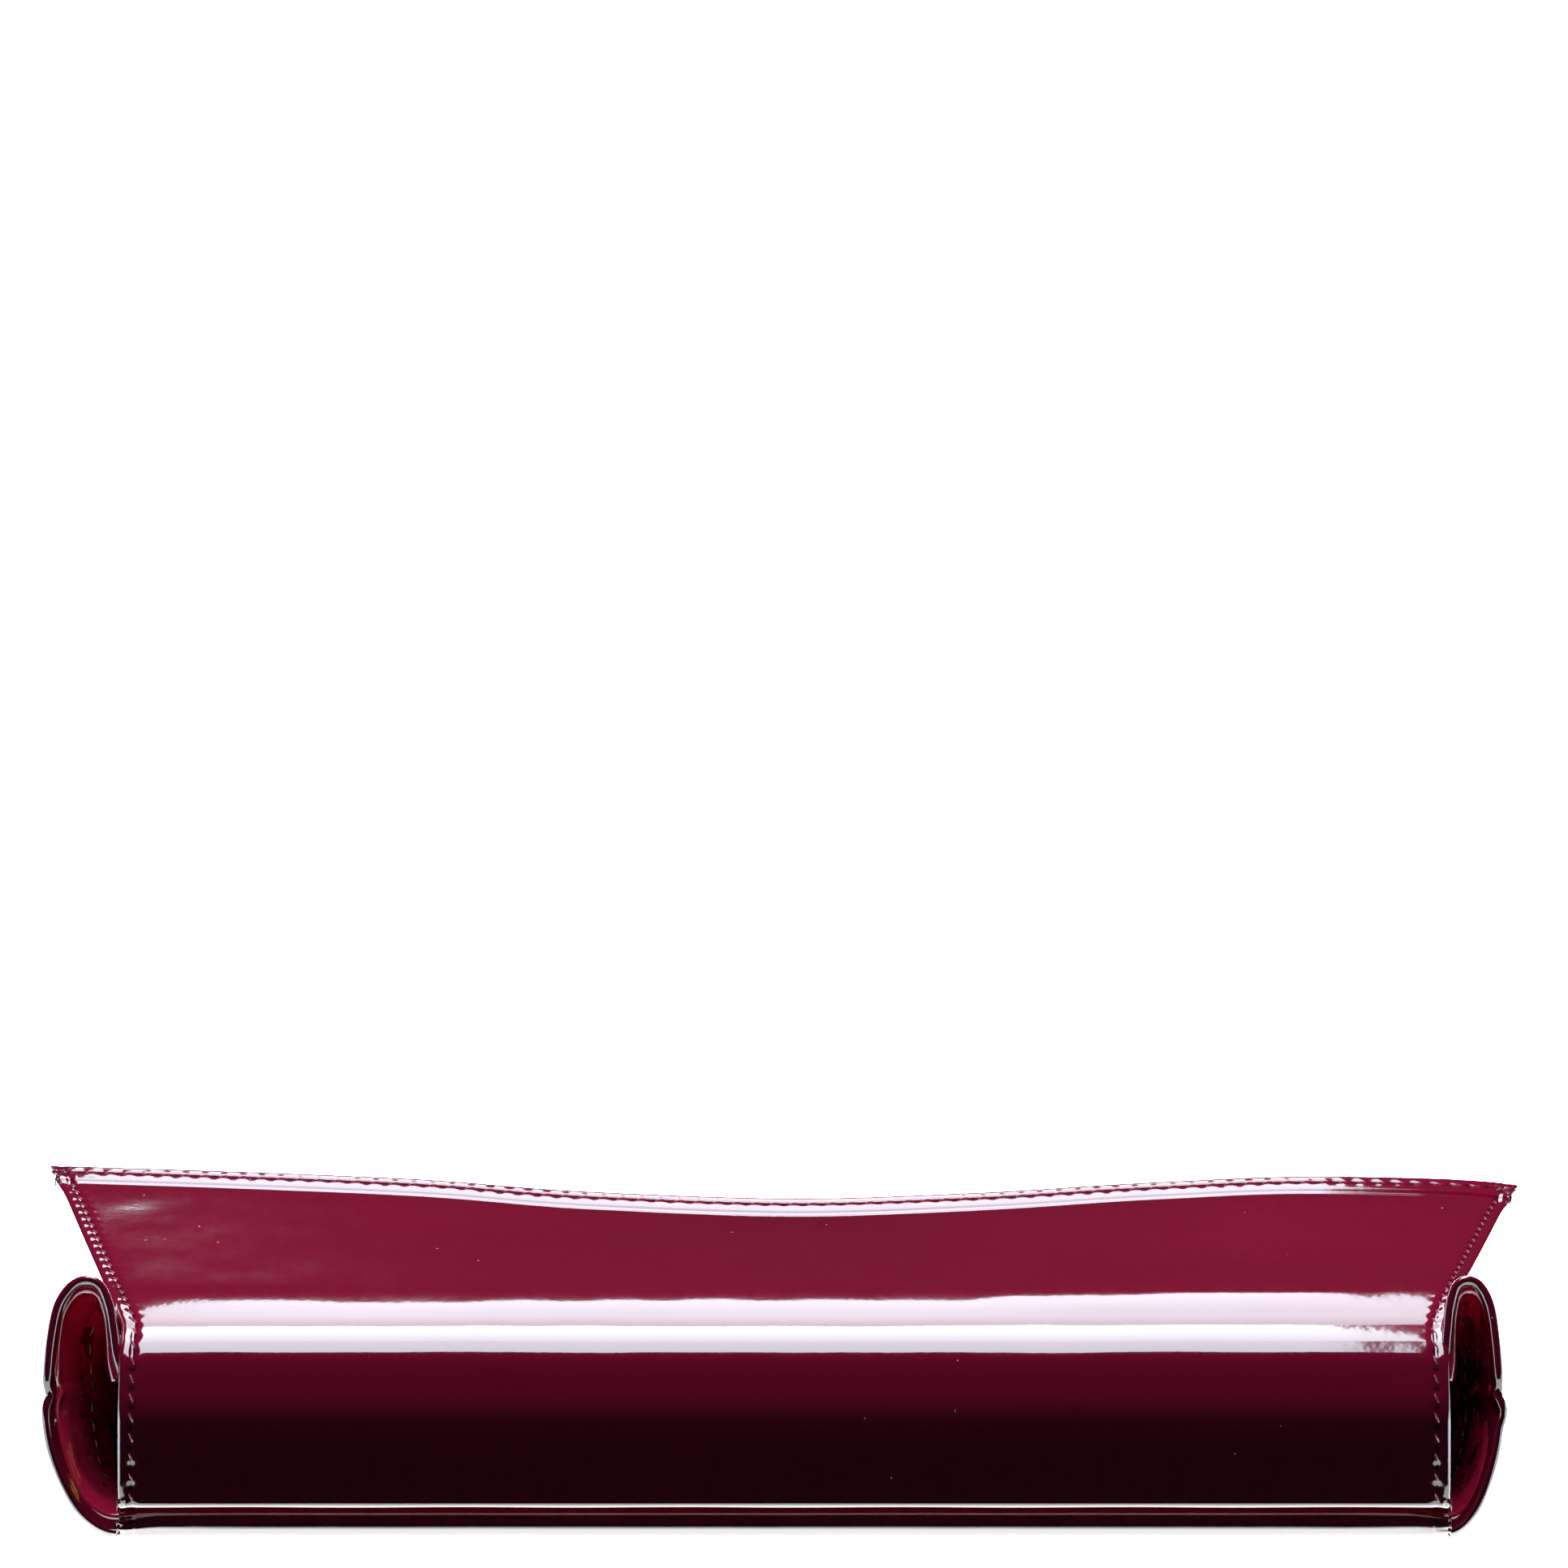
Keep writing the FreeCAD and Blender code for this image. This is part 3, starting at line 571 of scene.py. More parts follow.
def profile_frame(curve, run):
    """A point of a profile and the unit normal on its outer side."""
    here = curve.at(run)
    ahead = curve.at(min(run + 0.15, curve.length)) - curve.at(max(run - 0.15, 0.0))
    ahead.normalize()
    return here, Vector((-ahead.y, ahead.x))


def hem_rise(run):
    """Height of the turned hem over the flap."""
    start = FLAP_PROFILE.length - sizes().hem
    return sizes().hem_rise * smooth((run - start + 0.35) / 0.5)


LIFT_START_Y, HEM_TILT = 28, 0.185


def flap_point(x, run, offset=0.0):
    """A point of the flap's outer surface at a place across and a run up the profile."""
    here, normal = profile_frame(FLAP_PROFILE, run)
    y, z = here.x, here.y
    half = flap_half(y)
    share = clamp(x / half, -1, 1)
    late = clamp((y - LIFT_START_Y) / (FLAP_Y - 6 - LIFT_START_Y))
    z += lift_at(share) * late ** 1.1
    z += HEM_TILT * max(y - FLAP_Y + sizes().hem, 0)
    # a soft swell behind the roll on the right, then the seam's furrow, slow waves and the tucked foot
    z += 0.35 * smooth((share - 0.1) / 0.6) * math.exp(-((y - 27) / 9) ** 2)
    side_gap = half - abs(x)
    rise = hem_rise(run) + offset
    rise -= 0.07 * math.exp(-((side_gap - sizes().seam_inset) / 0.45) ** 2)
    rise += 0.05 * math.sin(x * 0.21 + 1.3) * math.exp(-((y - 3) / 6) ** 2)
    rise -= 0.35 * smooth((2.2 - side_gap) / 2.2) * smooth((8.5 - z) / 3.5) * smooth((z - 5) / 1.2)
    return x, y + normal.x * rise, z + normal.y * rise


def flap_seams(x, run):
    """Gap to the nearest seam of the flap and the run along it."""
    half = flap_half(FLAP_PROFILE.at(run).x)
    side = abs(half - abs(x) - sizes().seam_inset)
    hem = abs(FLAP_PROFILE.length - run - sizes().hem / 2)
    return (hem, x) if hem < side else (side, run)


def flap_rows():
    """Runs of the flap's rows, dense at the crease, the roll and the step of the hem."""
    length = FLAP_PROFILE.length
    hem = length - sizes().hem
    return stations((0, 12, 0.5), (12, 44, 0.8), (44, hem - 2, 2.2), (hem - 2, hem - 0.5, 0.5),
                    (hem - 0.5, hem + 0.3, 0.2), (hem + 0.3, length - 1, 0.5), (length - 1, length, 1))


def on_neck_and_flap(piece):
    """Bake a piece's placement into its mesh."""
    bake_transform(piece)


class OBJECT_OT_wallet_flap(bpy.types.Operator):
    """Model the flap and the neck: one skin of patent leather with turned, hemmed edges"""

    bl_idname = "object.wallet_flap"
    bl_label = "Flap and Neck"

    def execute(self, context):
        rows = flap_rows()

        def place(column, run):
            return flap_point(column_x(column, flap_half(FLAP_PROFILE.at(run).x)), run)

        def seams(column, run):
            return flap_seams(column_x(column, flap_half(FLAP_PROFILE.at(run).x)), run)

        def thin(point):
            height = point.z / MM
            return smooth((height - 4.2) / 2.5) * 0.4 + 0.6

        piece = add_sheet("flap_skin", edge_columns(3.0), rows, place, seams)
        thicken(piece, sizes().flap, 0.55, thin=thin)
        dress(piece, "patent_leather_burgundy")
        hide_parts("flap_leather", "neck_leather")
        on_neck_and_flap(piece)
        return {"FINISHED"}


class OBJECT_OT_wallet_flap_inside(bpy.types.Operator):
    """Model the flap's board and the lining on its inner side"""

    bl_idname = "object.wallet_flap_inside"
    bl_label = "Flap Lining and Board"

    def execute(self, context):
        length = FLAP_PROFILE.length
        for name, first, last, margin, depth, thick, key, slot, stands_for in (
            ("flap_board", 46.0, length - 8, 8.0, 0.9, 0.5, "cellulose_board", "board", ["flap_stiffener"]),
            ("flap_lining_skin", 13.0, length - 4.5, 4.5, sizes().flap - 0.1, 0.4,
             "polyester_lining_woven", "lining", ["flap_lining"]),
        ):
            def place(share, run, margin=margin, depth=depth):
                half = flap_half(FLAP_PROFILE.at(run).x) - margin
                return flap_point(share * half, run, -depth - hem_rise(run))

            across = stations((-1, 1, 2 / 60))
            piece = add_sheet(name, across, stations((first, last, 1.2)), place)
            thicken(piece, thick, 0.15)
            dress(piece, key)
            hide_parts(*stands_for)
            if name == "flap_board":
                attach(piece, "flap")
            else:
                on_neck_and_flap(piece)
        return {"FINISHED"}


class OBJECT_OT_wallet_hinge_lining(bpy.types.Operator):
    """Model the lining that crosses the crease from the pouch to the neck"""

    bl_idname = "object.wallet_hinge_lining"
    bl_label = "Hinge Lining"

    def execute(self, context):
        path = Curve([(13.0, 2.25), (9.0, 2.35), (7.4, 2.9), (6.7, 4.2), (6.1, 5.9), (5.0, 7.3), (4.2, 9.0),
                      (4.3, 12.0), (5.6, 16.5)])
        half = MOUTH_HALF - 4

        def place(share, run):
            here = path.at(run)
            return share * half, here.x, here.y + 0.06 * math.sin(share * 40) * smooth((run - 3) / 4)

        piece = add_sheet("hinge_lining", stations((-1, 1, 2 / 70)), stations((0, path.length, 0.6)), place)
        thicken(piece, 0.4, 0.12, inward=False)
        dress(piece, "polyester_lining_woven")
        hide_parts("neck_lining")
        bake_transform(piece)
        return {"FINISHED"}


# ---------------------------------------------------------------- pouch


# depth and height of the outer surface: lip, back panel, bottom fold and front panel
POUCH_PROFILE = Curve([
    (5.6, 4.45), (4.2, 4.66), (2.5, 4.68), (0.95, 3.95), (0.18, 2.5), (0.5, 1.15), (1.6, 0.3), (3.4, 0.03),
    (8.0, 0.0), (30.0, 0.0), (60.0, 0.0), (98.0, 0.0), (104.0, 0.1), (108.4, 0.75), (111.2, 2.9),
    (DEPTH, 6.0), (111.2, 9.1), (108.6, 11.3), (105.0, 12.15), (98.0, 13.4), (88.0, 15.2), (78.0, 16.95),
    (70.0, 17.8),
    (50.0, 19.0), (30.0, 20.2), (MOUTH_Y, MOUTH_Z),
])


def pouch_half(y):
    """Half width of the front and back panels."""
    return MOUTH_HALF + (BOTTOM_HALF - MOUTH_HALF) * max(y - MOUTH_Y, 0) / (DEPTH - MOUTH_Y)


LIP_RUN = 12  # the lip takes up this much of the profile


def pouch_point(x, run, offset=0.0):
    """A point of the pouch's outer surface at a place across and a run round the profile."""
    here, normal = profile_frame(POUCH_PROFILE, run)
    side_gap = pouch_half(here.x) - abs(x)
    rise = offset - 0.12 * math.exp(-((side_gap - sizes().seam_inset) / 0.55) ** 2)
    rise -= 0.1 * math.exp(-((POUCH_PROFILE.length - run - sizes().seam_inset) / 0.55) ** 2)
    if run < LIP_RUN:
        rise += 0.07 * math.sin(run * 5.2 + x * 0.3) * math.exp(-side_gap / 6)
        rise -= 0.5 * clamp(1 - side_gap / 2.4) ** 2
    drop = 0.12 * smooth((6 - side_gap) / 6) if run < LIP_RUN else 0.0
    return x, here.x - normal.x * rise, max(here.y - normal.y * rise, 0.0) * (1 - drop)


def pouch_seams(x, run):
    """Gap to the nearest seam of the pouch and the run along it."""
    side = abs(pouch_half(POUCH_PROFILE.at(run).x) - abs(x) - sizes().seam_inset)
    mouth = abs(POUCH_PROFILE.length - run - sizes().seam_inset)
    return (mouth, x) if mouth < side else (side, run)


def on_pouch(piece):
    """Bake a piece's placement into its mesh."""
    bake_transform(piece)


class OBJECT_OT_wallet_pouch(bpy.types.Operator):
    """Model the pouch: lip, back panel, bottom fold and front panel in one skin"""

    bl_idname = "object.wallet_pouch"
    bl_label = "Pouch"

    def execute(self, context):
        length = POUCH_PROFILE.length

        def place(column, run):
            return pouch_point(column_x(column, pouch_half(POUCH_PROFILE.at(run).x)), run)

        def seams(column, run):
            return pouch_seams(column_x(column, pouch_half(POUCH_PROFILE.at(run).x)), run)

        def thin(point):
            return 1.0 if point.y / MM - FRONT > 5 or point.z / MM < 4 else 0.6

        rows = stations((0, 0.6, 0.6), (0.6, 12, 0.25), (12, 105, 3.5), (105, 135, 0.9),
                        (135, length - 4, 3.0), (length - 4, length - 0.8, 0.4), (length - 0.8, length, 0.8))
        piece = add_sheet("pouch_skin", edge_columns(), rows, place, seams)
        thicken(piece, sizes().skin, 0.35, inward=False, even=False)
        dress(piece, "patent_leather_burgundy")
        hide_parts("back_panel", "front_panel")
        on_pouch(piece)
        return {"FINISHED"}


# ---------------------------------------------------------------- gussets


# the loop that stands out at the mouth, across and up, from the back panel round to the neck
EAR_LOOP = [(84.0, 2.3), (88.0, 1.7), (91.3, 1.75), (94.3, 3.7), (96.6, 7.2), (98.7, 12.0), (99.1, 18.6),
            (98.8, 25.6), (97.6, 30.2), (95.6, 32.2), (93.6, 32.1), (92.2, 29.8), (91.4, 26.4), (90.9, 23.6),
            (89.9, 20.9)]
EAR_ROOT = 88.0
EAR_MIDDLE = Vector((95.0, 17.0))
EAR_FLARE = 1.05  # how far the rim turns outwards, over its first few millimetres
CREASE_Z = 18.5  # height of the crease down the middle of the ear
INNER_NEST = 1.55  # how far the inner gusset lies inside the outer one
GUSSET_SEAM = 6.5  # distance of the inner gusset's seam from its rim


def ear_narrowing(side):
    """The right ear stands out a little less than the left one."""
    return 0.72 if side > 0 else 1.0


class Gusset:
    """The surface of one gusset: a loop that stands out at the mouth and flattens towards the bottom."""

    def __init__(self, side, nest):
        self.side = side
        self.nest = nest
        wide = ear_narrowing(side)
        self.ear = Curve([self._nested(EAR_ROOT + (x - EAR_ROOT) * (wide if x > EAR_ROOT else 1), z)
                          for x, z in EAR_LOOP])

    def _nested(self, x, z):
        """Move a point of the outer loop to this layer."""
        away = Vector((x, z)) - EAR_MIDDLE
        return Vector((x, z)) - away.normalized() * (self.nest + EAR_FLARE) * clamp(away.length / 6)

    def rim(self, share):
        """Depth of the rim: it leans back towards its top and is notched at the centre crease."""
        z = self.ear.at(share * self.ear.length).y
        lean = 14.0 * clamp(z / EAR_TOP) ** 1.5
        notch = 0.8 * math.exp(-((z - CREASE_Z) / 1.1) ** 2) if share < 0.6 else 0.0
        return 0.9 + lean + notch + self.nest * 1.2

    def loop(self, share, y):
        """A point of the flattened loop behind the ear."""
        low, high = 1.0 + self.nest, front_height(y) - 1.0 - self.nest
        if y > DEPTH - 6:
            reach = math.sqrt(max(36 - (y - DEPTH + 6) ** 2, 4))
            low, high = 7.0 + self.nest - reach, 5.0 - self.nest + reach
        along = clamp((y - MOUTH_Y) / (DEPTH - MOUTH_Y))
        bulge = (0.6 + 3.2 * smooth((along - 0.05) / 0.4)) * (1 - smooth((y - 97) / 8)) - self.nest * 0.8
        turn = math.pi * share
        return Vector((pouch_half(y) - 0.4 + max(bulge, 0.2) * math.sin(turn) ** 0.7,
                       low + (high - low) * (1 - math.cos(turn)) / 2))

    def at(self, share, along, offset=0.0):
        """A point at a share of the loop's length and a share of the way from the rim to the bottom fold."""
        rim = self.rim(share)
        y = rim + (DEPTH - 2.4 - self.nest - rim) * along
        rise = 1 - smooth((y - rim) / (32 - 0.5 * rim)) ** 0.8
        ear = self.ear.at(share * self.ear.length)
        point = ear * rise + self.loop(share, y) * (1 - rise)
        point += (point - EAR_MIDDLE).normalized() * EAR_FLARE * (1 - smooth((y - rim) / 3.6))
        crease = math.exp(-(point.y - CREASE_Z * rise - 9 * (1 - rise)) ** 2) if share < 0.6 else 0.0
        point.x -= 0.5 * crease * (0.3 + 0.7 * rise)
        depth = y - rim
        dent = math.sin(share * 21 + depth * 0.5) * math.sin(share * 9 - depth * 0.33 + 1.2)
        point.x += 0.2 * dent * smooth(depth / 3) * smooth((30 - depth) / 10)
        return self.side * (point.x + offset), y, point.y


def front_height(y):
    """Height of the front panel's outer surface."""
    knee_y, knee_z, low_z = 76.0, 17.2, 12.1
    if y < knee_y:
        return MOUTH_Z + (knee_z - MOUTH_Z) * clamp((y - MOUTH_Y) / (knee_y - MOUTH_Y))
    return knee_z + (low_z - knee_z) * clamp((y - knee_y) / (DEPTH - 6 - knee_y))


def on_gusset(piece):
    """Bake a gusset's placement into its mesh."""
    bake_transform(piece)


class OBJECT_OT_wallet_gussets(bpy.types.Operator):
    """Model the gussets: two nested loops with rolled rims at each end of the mouth"""

    bl_idname = "object.wallet_gussets"
    bl_label = "Gussets"

    @staticmethod
    def on_rim(middle, direction):
        """Only the rims at the mouth; the other edges are sewn in and lie hidden."""
        return middle.y / MM - FRONT < 22 and abs(direction.y) < 0.85

    def execute(self, context):
        along = stations((0, 0.011, 0.011), (0.011, 0.05, 0.006), (0.05, 0.3, 0.012), (0.3, 1, 0.03))
        around = stations((0, 1, 1 / 130))
        # the inner layer wears the lighter, painted-light copy of the patent leather
        layers = (("outer", 0.0, "patent_leather_burgundy"), ("inner", INNER_NEST, "patent_leather_inner"))
        for side, hand in ((-1, "left"), (1, "right")):
            for layer, nest, key in layers:
                gusset = Gusset(side, nest)

                def seams(share, deep, gusset=gusset):
                    return abs(deep * (DEPTH - 20) - GUSSET_SEAM), gusset.ear.length * share

                piece = add_sheet(f"gusset_{layer}_{hand}_skin", around, along, gusset.at, seams)
                thicken(piece, sizes().gusset, 0.55, inward=side > 0, even=False, chosen=self.on_rim)
                dress(piece, key)
                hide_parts(f"gusset_{layer}_{hand}")
                on_gusset(piece)
        return {"FINISHED"}


# ---------------------------------------------------------------- stitches


STITCH_SLANT = math.radians(24)


def stitch_rows(name, spots, follow):
    """One thread piece from a list of spots, each a place, a direction and a normal."""
    deselect()
    bpy.ops.mesh.primitive_uv_sphere_add(segments=8, ring_count=6, radius=1)
    model = bpy.context.object
    width, long = sizes().stitch_width, sizes().stitch_pitch * 0.74
    for vertex in model.data.vertices:
        vertex.co.x *= long / 2
        vertex.co.y *= width / 2
        vertex.co.z *= width * 0.42
        vertex.co.z -= 0.16 * (2 * vertex.co.x / long) ** 2
    copies = []
    for place, ahead, up in spots:
        ahead = Matrix.Rotation(STITCH_SLANT, 3, up) @ ahead
        side = up.cross(ahead).normalized()
        ahead = side.cross(up).normalized()
        turn = Matrix((ahead, side, up)).transposed().to_4x4()
        copy = model.copy()
        copy.data = model.data.copy()
        bpy.context.collection.objects.link(copy)
        copy.data.transform(Matrix.Translation(place) @ turn @ Matrix.Scale(MM, 4))
        copies.append(copy)
    bpy.data.objects.remove(model)
    piece = join(copies, name)
    bpy.ops.object.shade_smooth()
    dress(piece, "bonded_thread")
    follow(piece)
    return piece


def spots_along(surface, runs, raised=0.0):
    """Stitch spots at the given runs of surface(run, offset), which gives a point in millimetres."""
    spots = []
    for run in runs:
        here = at(*surface(run, 0.0))
        ahead = (at(*surface(run + 0.3, 0.0)) - at(*surface(run - 0.3, 0.0))).normalized()
        over = at(*surface(run, 1.0)) - here
        up = (over - ahead * over.dot(ahead)).normalized()
        spots.append((here + up * raised * MM, ahead, up))
    return spots


def pitch_runs(start, stop):
    """Middles of the stitches between two runs; the holes lie at whole pitches."""
    pitch = sizes().stitch_pitch
    return [(index + 0.5) * pitch for index in range(math.ceil(start / pitch), math.floor(stop / pitch))]


class OBJECT_OT_wallet_stitches(bpy.types.Operator):
    """Sew the seams of the flap, the pouch and the gussets"""

    bl_idname = "object.wallet_stitches"
    bl_label = "Stitches"

    def execute(self, context):
        inset, length = sizes().seam_inset, FLAP_PROFILE.length
        spots = []
        for side in (-1, 1):
            def beside(run, offset, side=side):
                return flap_point(side * (flap_half(FLAP_PROFILE.at(run).x) - inset), run, offset)

            spots += spots_along(beside, pitch_runs(3.0, length - sizes().hem))
        middle = length - sizes().hem / 2
        reach = FLAP_HALF - 3

        def hemline(x, offset):
            return flap_point(x, middle, offset)

        spots += spots_along(hemline, pitch_runs(-reach, reach))
        piece = stitch_rows("flap_thread", spots, on_neck_and_flap)

        spots = []
        for side in (-1, 1):
            def pouch_side(run, offset, side=side):
                return pouch_point(side * (pouch_half(POUCH_PROFILE.at(run).x) - inset), run, offset)

            for start, stop in ((13.0, 112.0), (128.0, POUCH_PROFILE.length - 3)):
                spots += spots_along(pouch_side, pitch_runs(start, stop))

        def mouth_line(x, offset):
            return pouch_point(x, POUCH_PROFILE.length - inset, offset)

        spots += spots_along(mouth_line, pitch_runs(-MOUTH_HALF + 4, MOUTH_HALF - 4))
        piece = stitch_rows("pouch_thread", spots, on_pouch)

        spots = []
        for side in (-1, 1):
            gusset = Gusset(side, INNER_NEST)

            def inside(run, offset, gusset=gusset):
                under = -offset - sizes().gusset * 0.8
                return gusset.at(run / gusset.ear.length, GUSSET_SEAM / (DEPTH - 20), under)

            spots += spots_along(inside, pitch_runs(4, 34), 0.25)
        piece = stitch_rows("gusset_thread", spots, on_gusset)
        return {"FINISHED"}


# ---------------------------------------------------------------- card slots and coin pocket


class OBJECT_OT_wallet_card_slots(bpy.types.Operator):
    """Model the card slots: thin leather sheets whose mouths dip at the middle"""

    bl_idname = "object.wallet_card_slots"
    bl_label = "Card Slots"

    def execute(self, context):
        for hand in ("left", "right"):
            for tier in range(1, 5):
                node = f"card_slot_{hand}_{tier}"
                low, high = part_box(node)
                wide, deep = (high.x - low.x) / MM, (high.y - low.y) / MM
                left, front, top = low.x / MM, low.y / MM - FRONT, high.z / MM

                def place(a, b, left=left, wide=wide, front=front, deep=deep, top=top):
                    dip = 2.6 * math.exp(-((a - 0.5) / 0.16) ** 2)
                    round_off = 1.6 * (smooth((0.03 - a) / 0.03) + smooth((a - 0.97) / 0.03))
                    run = (deep - dip - round_off) * b
                    crease = -0.1 * math.exp(-((run - 1.4) / 0.35) ** 2)
                    swell = 0.22 * math.sin(math.pi * a) ** 0.6 * math.exp(-(b / 0.12) ** 2)
                    return left + wide * a, front + dip + round_off + run, top + crease + swell

                down = stations((0, 0.08, 0.008), (0.08, 1, 0.08))
                piece = add_sheet(f"{node}_leather", stations((0, 1, 1 / 64)), down, place)
                thicken(piece, 0.45, 0.14)
                dress(piece, "goat_leather_plated")
                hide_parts(node)
                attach(piece, "pouch_back")
        return {"FINISHED"}


class OBJECT_OT_wallet_coin_pocket(bpy.types.Operator):
    """Model the coin pocket: one folded sheet, and the two tapes that carry its zip"""

    bl_idname = "object.wallet_coin_pocket"
    bl_label = "Coin Pocket"

    def execute(self, context):
        low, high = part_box("coin_pocket")
        half = high.x / MM
        front, back = low.y / MM - FRONT, high.y / MM - FRONT
        chain_low, chain_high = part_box("zip_chain")
        middle = (chain_low.z + chain_high.z) / 2 / MM
        tape_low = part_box("zip_tape_lower")[0].z / MM
        tape_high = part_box("zip_tape_upper")[1].z / MM
        end_low = low.z / MM
        end = end_low + 2.2
        halfway = (front + back) / 2
        path = Curve([(front, tape_low), (front + 12, tape_low - 0.25), (halfway, (tape_low + end_low) / 2),
                      (back - 2.5, end_low + 0.05), (back - 0.6, end_low + 0.5), (back, (end_low + end) / 2),
                      (back - 0.6, end - 0.5), (back - 2.5, end), (halfway, (tape_high + end) / 2),
                      (front + 12, tape_high - 0.65), (front, tape_high)])

        def place(share, run):
            here = path.at(run)
            belly = 0.25 * math.cos(share * math.pi / 2) * math.sin(math.pi * run / path.length)
            return share * half, here.x, here.y - belly * (1 if run < path.length / 2 else -1)

        rows = stations((0, 60, 3.0), (60, path.length - 60, 0.7), (path.length - 60, path.length, 3.0))
        piece = add_sheet("coin_pocket_leather", stations((-1, 1, 2 / 60)), rows, place)
        thicken(piece, 0.6, 0.2, inward=False)
        dress(piece, "goat_leather_plated")
        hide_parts("coin_pocket")
        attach(piece, "coin_divider")

        gap = (chain_high.z - chain_low.z) / 2 / MM
        tapes = (("zip_tape_lower", tape_low, middle - gap), ("zip_tape_upper", tape_high, middle + gap))
        for node, edge, teeth in tapes:
            def tape(share, down, edge=edge, teeth=teeth):
                roll = 0.45 * smooth((down - 0.55) / 0.45)
                ridge = 0.12 * math.exp(-((down - 0.12) / 0.06) ** 2)
                return share * half, front - 0.15 - ridge + roll, teeth + (edge - teeth) * down

            piece = add_sheet(f"{node}_cloth", stations((-1, 1, 2 / 80)), stations((0, 1, 1 / 12)), tape)
            thicken(piece, 0.32, 0.1, inward=node == "zip_tape_upper")
            dress(piece, "zip_tape_woven")
            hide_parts(node)
            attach(piece, "coin_divider")
        return {"FINISHED"}


SOFT_ANGLE = math.radians(35)
TOOTH_PITCH, TOOTH_LEAN = 1.5 * MM, 0.32 * MM
TOOTH = (0.651 * MM, 1.25 * MM, 1.45 * MM)  # length, depth and height of one tooth


class OBJECT_OT_wallet_hardware(bpy.types.Operator):
    """Give the zip, the snap, the boards and the piping their finishes, and cut the zip's teeth"""

    bl_idname = "object.wallet_hardware"
    bl_label = "Zip and Snap"

    def execute(self, context):
        finishes = {
            "brass_polished": ["zip_stop_left", "zip_stop_right", "zip_slider", "zip_bail", "zip_pull"],
            "nickel_plated": ["snap_socket", "snap_socket_washer", "snap_stud", "snap_stud_washer"],
            "cellulose_board": ["back_stiffener", "front_stiffener"],
            "polyester_lining_woven": ["back_lining", "front_lining"],
        }
        for key, nodes in finishes.items():
            for node in nodes:
                dress(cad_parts[node], key)
        self.piping()
        self.teeth()
        return {"FINISHED"}

    def piping(self):
        """The cord in the lip, which shows at the lip's ends."""
        deselect()
        bpy.ops.mesh.primitive_cylinder_add(vertices=32, radius=1.05 * MM, depth=2 * (MOUTH_HALF - 7) * MM,
                                            location=at(0, 2.35, 2.35), rotation=(0, math.radians(90), 0))
        bpy.ops.object.transform_apply(location=True, rotation=True, scale=True)
        core = bpy.context.object
        core.name = "lip_piping"
        apply_modifier(core, "BEVEL", width=0.3 * MM, segments=2, limit_method="ANGLE")
        bpy.ops.object.shade_smooth_by_angle(angle=SOFT_ANGLE)
        dress(core, "cotton_piping")
        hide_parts("lip_piping_core")
        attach(core, "pouch_back")

    def teeth(self):
        """Two rows of teeth that lock into each other, each wider on its own tape's side."""
        low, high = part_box("zip_chain")
        middle = (low + high) / 2
        long, deep, tall = TOOTH
        count = int((high.x - low.x - 2 * MM) / TOOTH_PITCH)
        deselect()
        rows = []
        for row, (shift, lean) in enumerate(((0.0, -TOOTH_LEAN), (TOOTH_PITCH / 2, TOOTH_LEAN))):
            bpy.ops.mesh.primitive_cube_add(size=1)
            tooth = bpy.context.object
            start = Vector((low.x + MM + shift, middle.y - 0.1 * MM, middle.z + lean))
            for vertex in tooth.data.vertices:
                x, y, z = vertex.co
                wide = 1.0 if z * (1 if row else -1) > 0 else 0.7
                vertex.co = Vector((x * long * wide, y * deep, z * tall)) + start
            apply_modifier(tooth, "BEVEL", width=0.14 * MM, segments=2)
            apply_modifier(tooth, "ARRAY", count=count, use_relative_offset=False, use_constant_offset=True,
                           constant_offset_displace=(TOOTH_PITCH, 0, 0))
            rows.append(tooth)
        teeth = join(rows, "zip_teeth")
        bpy.ops.object.shade_smooth_by_angle(angle=SOFT_ANGLE)
        dress(teeth, "brass_polished")
        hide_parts("zip_chain")
        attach(teeth, "coin_divider")


# ---------------------------------------------------------------- stage


LIGHT_TINT = (0.78, 0.9, 1.0)
# overhead boxes a metre up: left, right, front and back edges in metres, and how bright they look
SOFTBOXES = {
    "softbox_front": (-0.25, 0.15, -0.17, 0.2, 7.6),
    "softbox_middle": (-0.2, 0.165, 0.19, 0.95, 8.6),
    "softbox_rear": (-0.235, 0.24, 0.94, 2.3, 3.5),
}
STRIP_SIZE, STRIP_RADIANCE = (0.28, 1.3), 5
FLOOR_GLOW, FLOOR_GLOW_BEFORE_LIP = 2.0, 9.0
CAMERA_TILT, CAMERA_LENS = 15.085, 203.3


def area_light(name, place, size, energy, turn=(0, 0, 0)):
    """A rectangular lamp; turn is in degrees."""
    bpy.ops.object.light_add(type="AREA", location=place, rotation=[math.radians(angle) for angle in turn])
    lamp = bpy.context.object
    lamp.name = name
    lamp.data.shape = "RECTANGLE"
    lamp.data.size, lamp.data.size_y = size
    lamp.data.energy = energy
    return lamp


def glossy_lamp(name, place, size, radiance, turn=(0, 0, 0)):
    """A lamp that looks this bright in a reflection."""
    lamp = area_light(name, place, size, radiance * math.pi * size[0] * size[1], turn)
    lamp.data.color = LIGHT_TINT
    return lamp


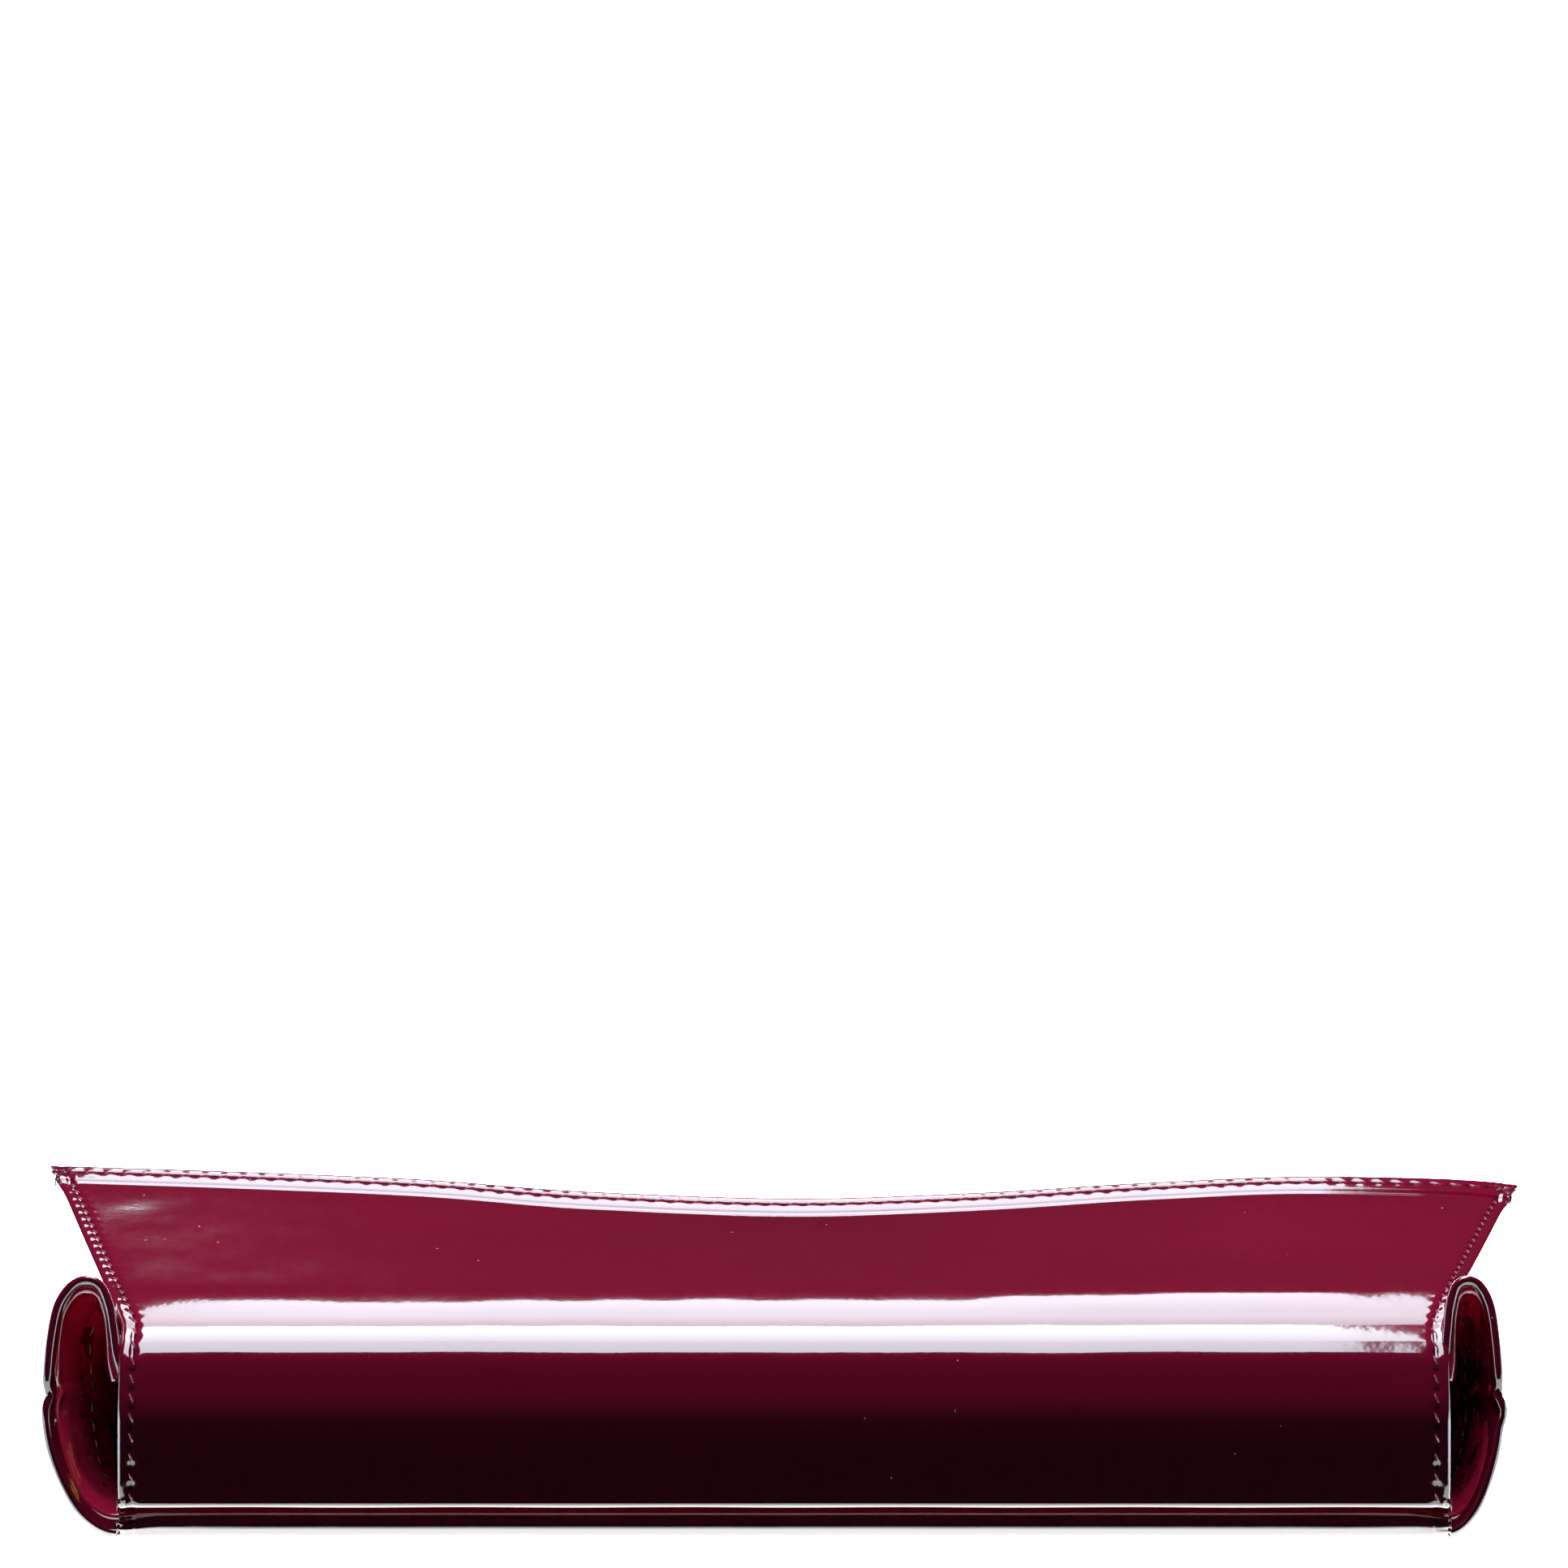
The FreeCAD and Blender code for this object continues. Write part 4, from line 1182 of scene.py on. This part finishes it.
class OBJECT_OT_wallet_stage(bpy.types.Operator):
    """Set the floor, the light and the camera"""

    bl_idname = "object.wallet_stage"
    bl_label = "Stage"

    def execute(self, context):
        scene = context.scene
        self.floor()
        world = bpy.data.worlds.new("studio")
        world.use_nodes = True
        background = world.node_tree.nodes["Background"]
        background.inputs["Color"].default_value = (0.9, 0.9, 1.0, 1)
        background.inputs["Strength"].default_value = 0.014
        scene.world = world
        for name, (left, right, front, back, radiance) in SOFTBOXES.items():
            place = ((left + right) / 2, (front + back) / 2, 1.0)
            glossy_lamp(name, place, (right - left, back - front), radiance)
        for name, side in (("strip_left", -1), ("strip_right", 1)):
            strip = glossy_lamp(name, (side * 0.8, -0.3, 0.15), STRIP_SIZE, STRIP_RADIANCE, (0, side * 90, 0))
            strip.visible_diffuse = False
        fill = area_light("fill", (0, 0.9, 1.6), (1.3, 1.3), 54, (-29, 0, 0))
        fill.visible_glossy = False
        self.camera(scene)
        scene.view_settings.view_transform = "Standard"
        return {"FINISHED"}

    def floor(self):
        """A white floor that glows, most of all where the underside of the lip mirrors it."""
        deselect()
        bpy.ops.mesh.primitive_plane_add(size=14, location=(0, 2.5, -0.0002))
        floor = bpy.context.object
        floor.name = "floor"
        paint = Paint("white_floor")
        reach = paint.node("ShaderNodeSeparateXYZ", {"Vector": paint.spot})
        lip_y = FRONT * MM - floor.location.y
        near = {"Value": reach.outputs["Y"], "From Min": lip_y - 0.014, "From Max": lip_y - 0.004,
                "To Min": FLOOR_GLOW, "To Max": FLOOR_GLOW_BEFORE_LIP}
        glow = paint.node("ShaderNodeMapRange", near, clamp=True).outputs["Result"]
        floor.data.materials.append(paint.surface(
            {"Base Color": (0.92, 0.92, 0.92, 1), "Emission Color": (1, 1, 1, 1), "Emission Strength": glow},
            Roughness=0.6))
        floor.visible_diffuse = False

    def camera(self, scene):
        bpy.ops.object.camera_add(location=at(0, -1127.6, 410.4),
                                  rotation=(math.radians(90 - CAMERA_TILT), 0, 0))
        camera = bpy.context.object
        camera.data.lens = CAMERA_LENS
        camera.data.sensor_width = 36
        camera.data.clip_start = 0.05
        camera.data.clip_end = 30
        scene.camera = camera


class VIEW3D_PT_wallet(bpy.types.Panel):
    """Buttons and settings of the wallet"""

    bl_label = "Long Wallet"
    bl_idname = "VIEW3D_PT_wallet"
    bl_space_type = "VIEW_3D"
    bl_region_type = "UI"
    bl_category = "Long Wallet"

    def draw(self, context):
        for operator in OPERATORS:
            self.layout.operator(operator.bl_idname)
        for group in (context.scene.wallet_sizes, context.scene.wallet_colours):
            for name in group.__annotations__:
                self.layout.prop(group, name)


OPERATORS = (
    OBJECT_OT_wallet_flap,
    OBJECT_OT_wallet_flap_inside,
    OBJECT_OT_wallet_hinge_lining,
    OBJECT_OT_wallet_pouch,
    OBJECT_OT_wallet_gussets,
    OBJECT_OT_wallet_stitches,
    OBJECT_OT_wallet_card_slots,
    OBJECT_OT_wallet_coin_pocket,
    OBJECT_OT_wallet_hardware,
    OBJECT_OT_wallet_stage,
)
CLASSES = (LeatherSizes, FinishColours, *OPERATORS, VIEW3D_PT_wallet)


def register():
    for cls in CLASSES:
        bpy.utils.register_class(cls)
    bpy.types.Scene.wallet_sizes = bpy.props.PointerProperty(type=LeatherSizes)
    bpy.types.Scene.wallet_colours = bpy.props.PointerProperty(type=FinishColours)


def unregister():
    del bpy.types.Scene.wallet_colours
    del bpy.types.Scene.wallet_sizes
    for cls in reversed(CLASSES):
        bpy.utils.unregister_class(cls)


def main():
    register()
    bpy.ops.object.wallet_flap()
    bpy.ops.object.wallet_flap_inside()
    bpy.ops.object.wallet_hinge_lining()
    bpy.ops.object.wallet_pouch()
    bpy.ops.object.wallet_gussets()
    bpy.ops.object.wallet_stitches()
    bpy.ops.object.wallet_card_slots()
    bpy.ops.object.wallet_coin_pocket()
    bpy.ops.object.wallet_hardware()
    bpy.ops.object.wallet_stage()


if __name__ == "__main__":
    main()
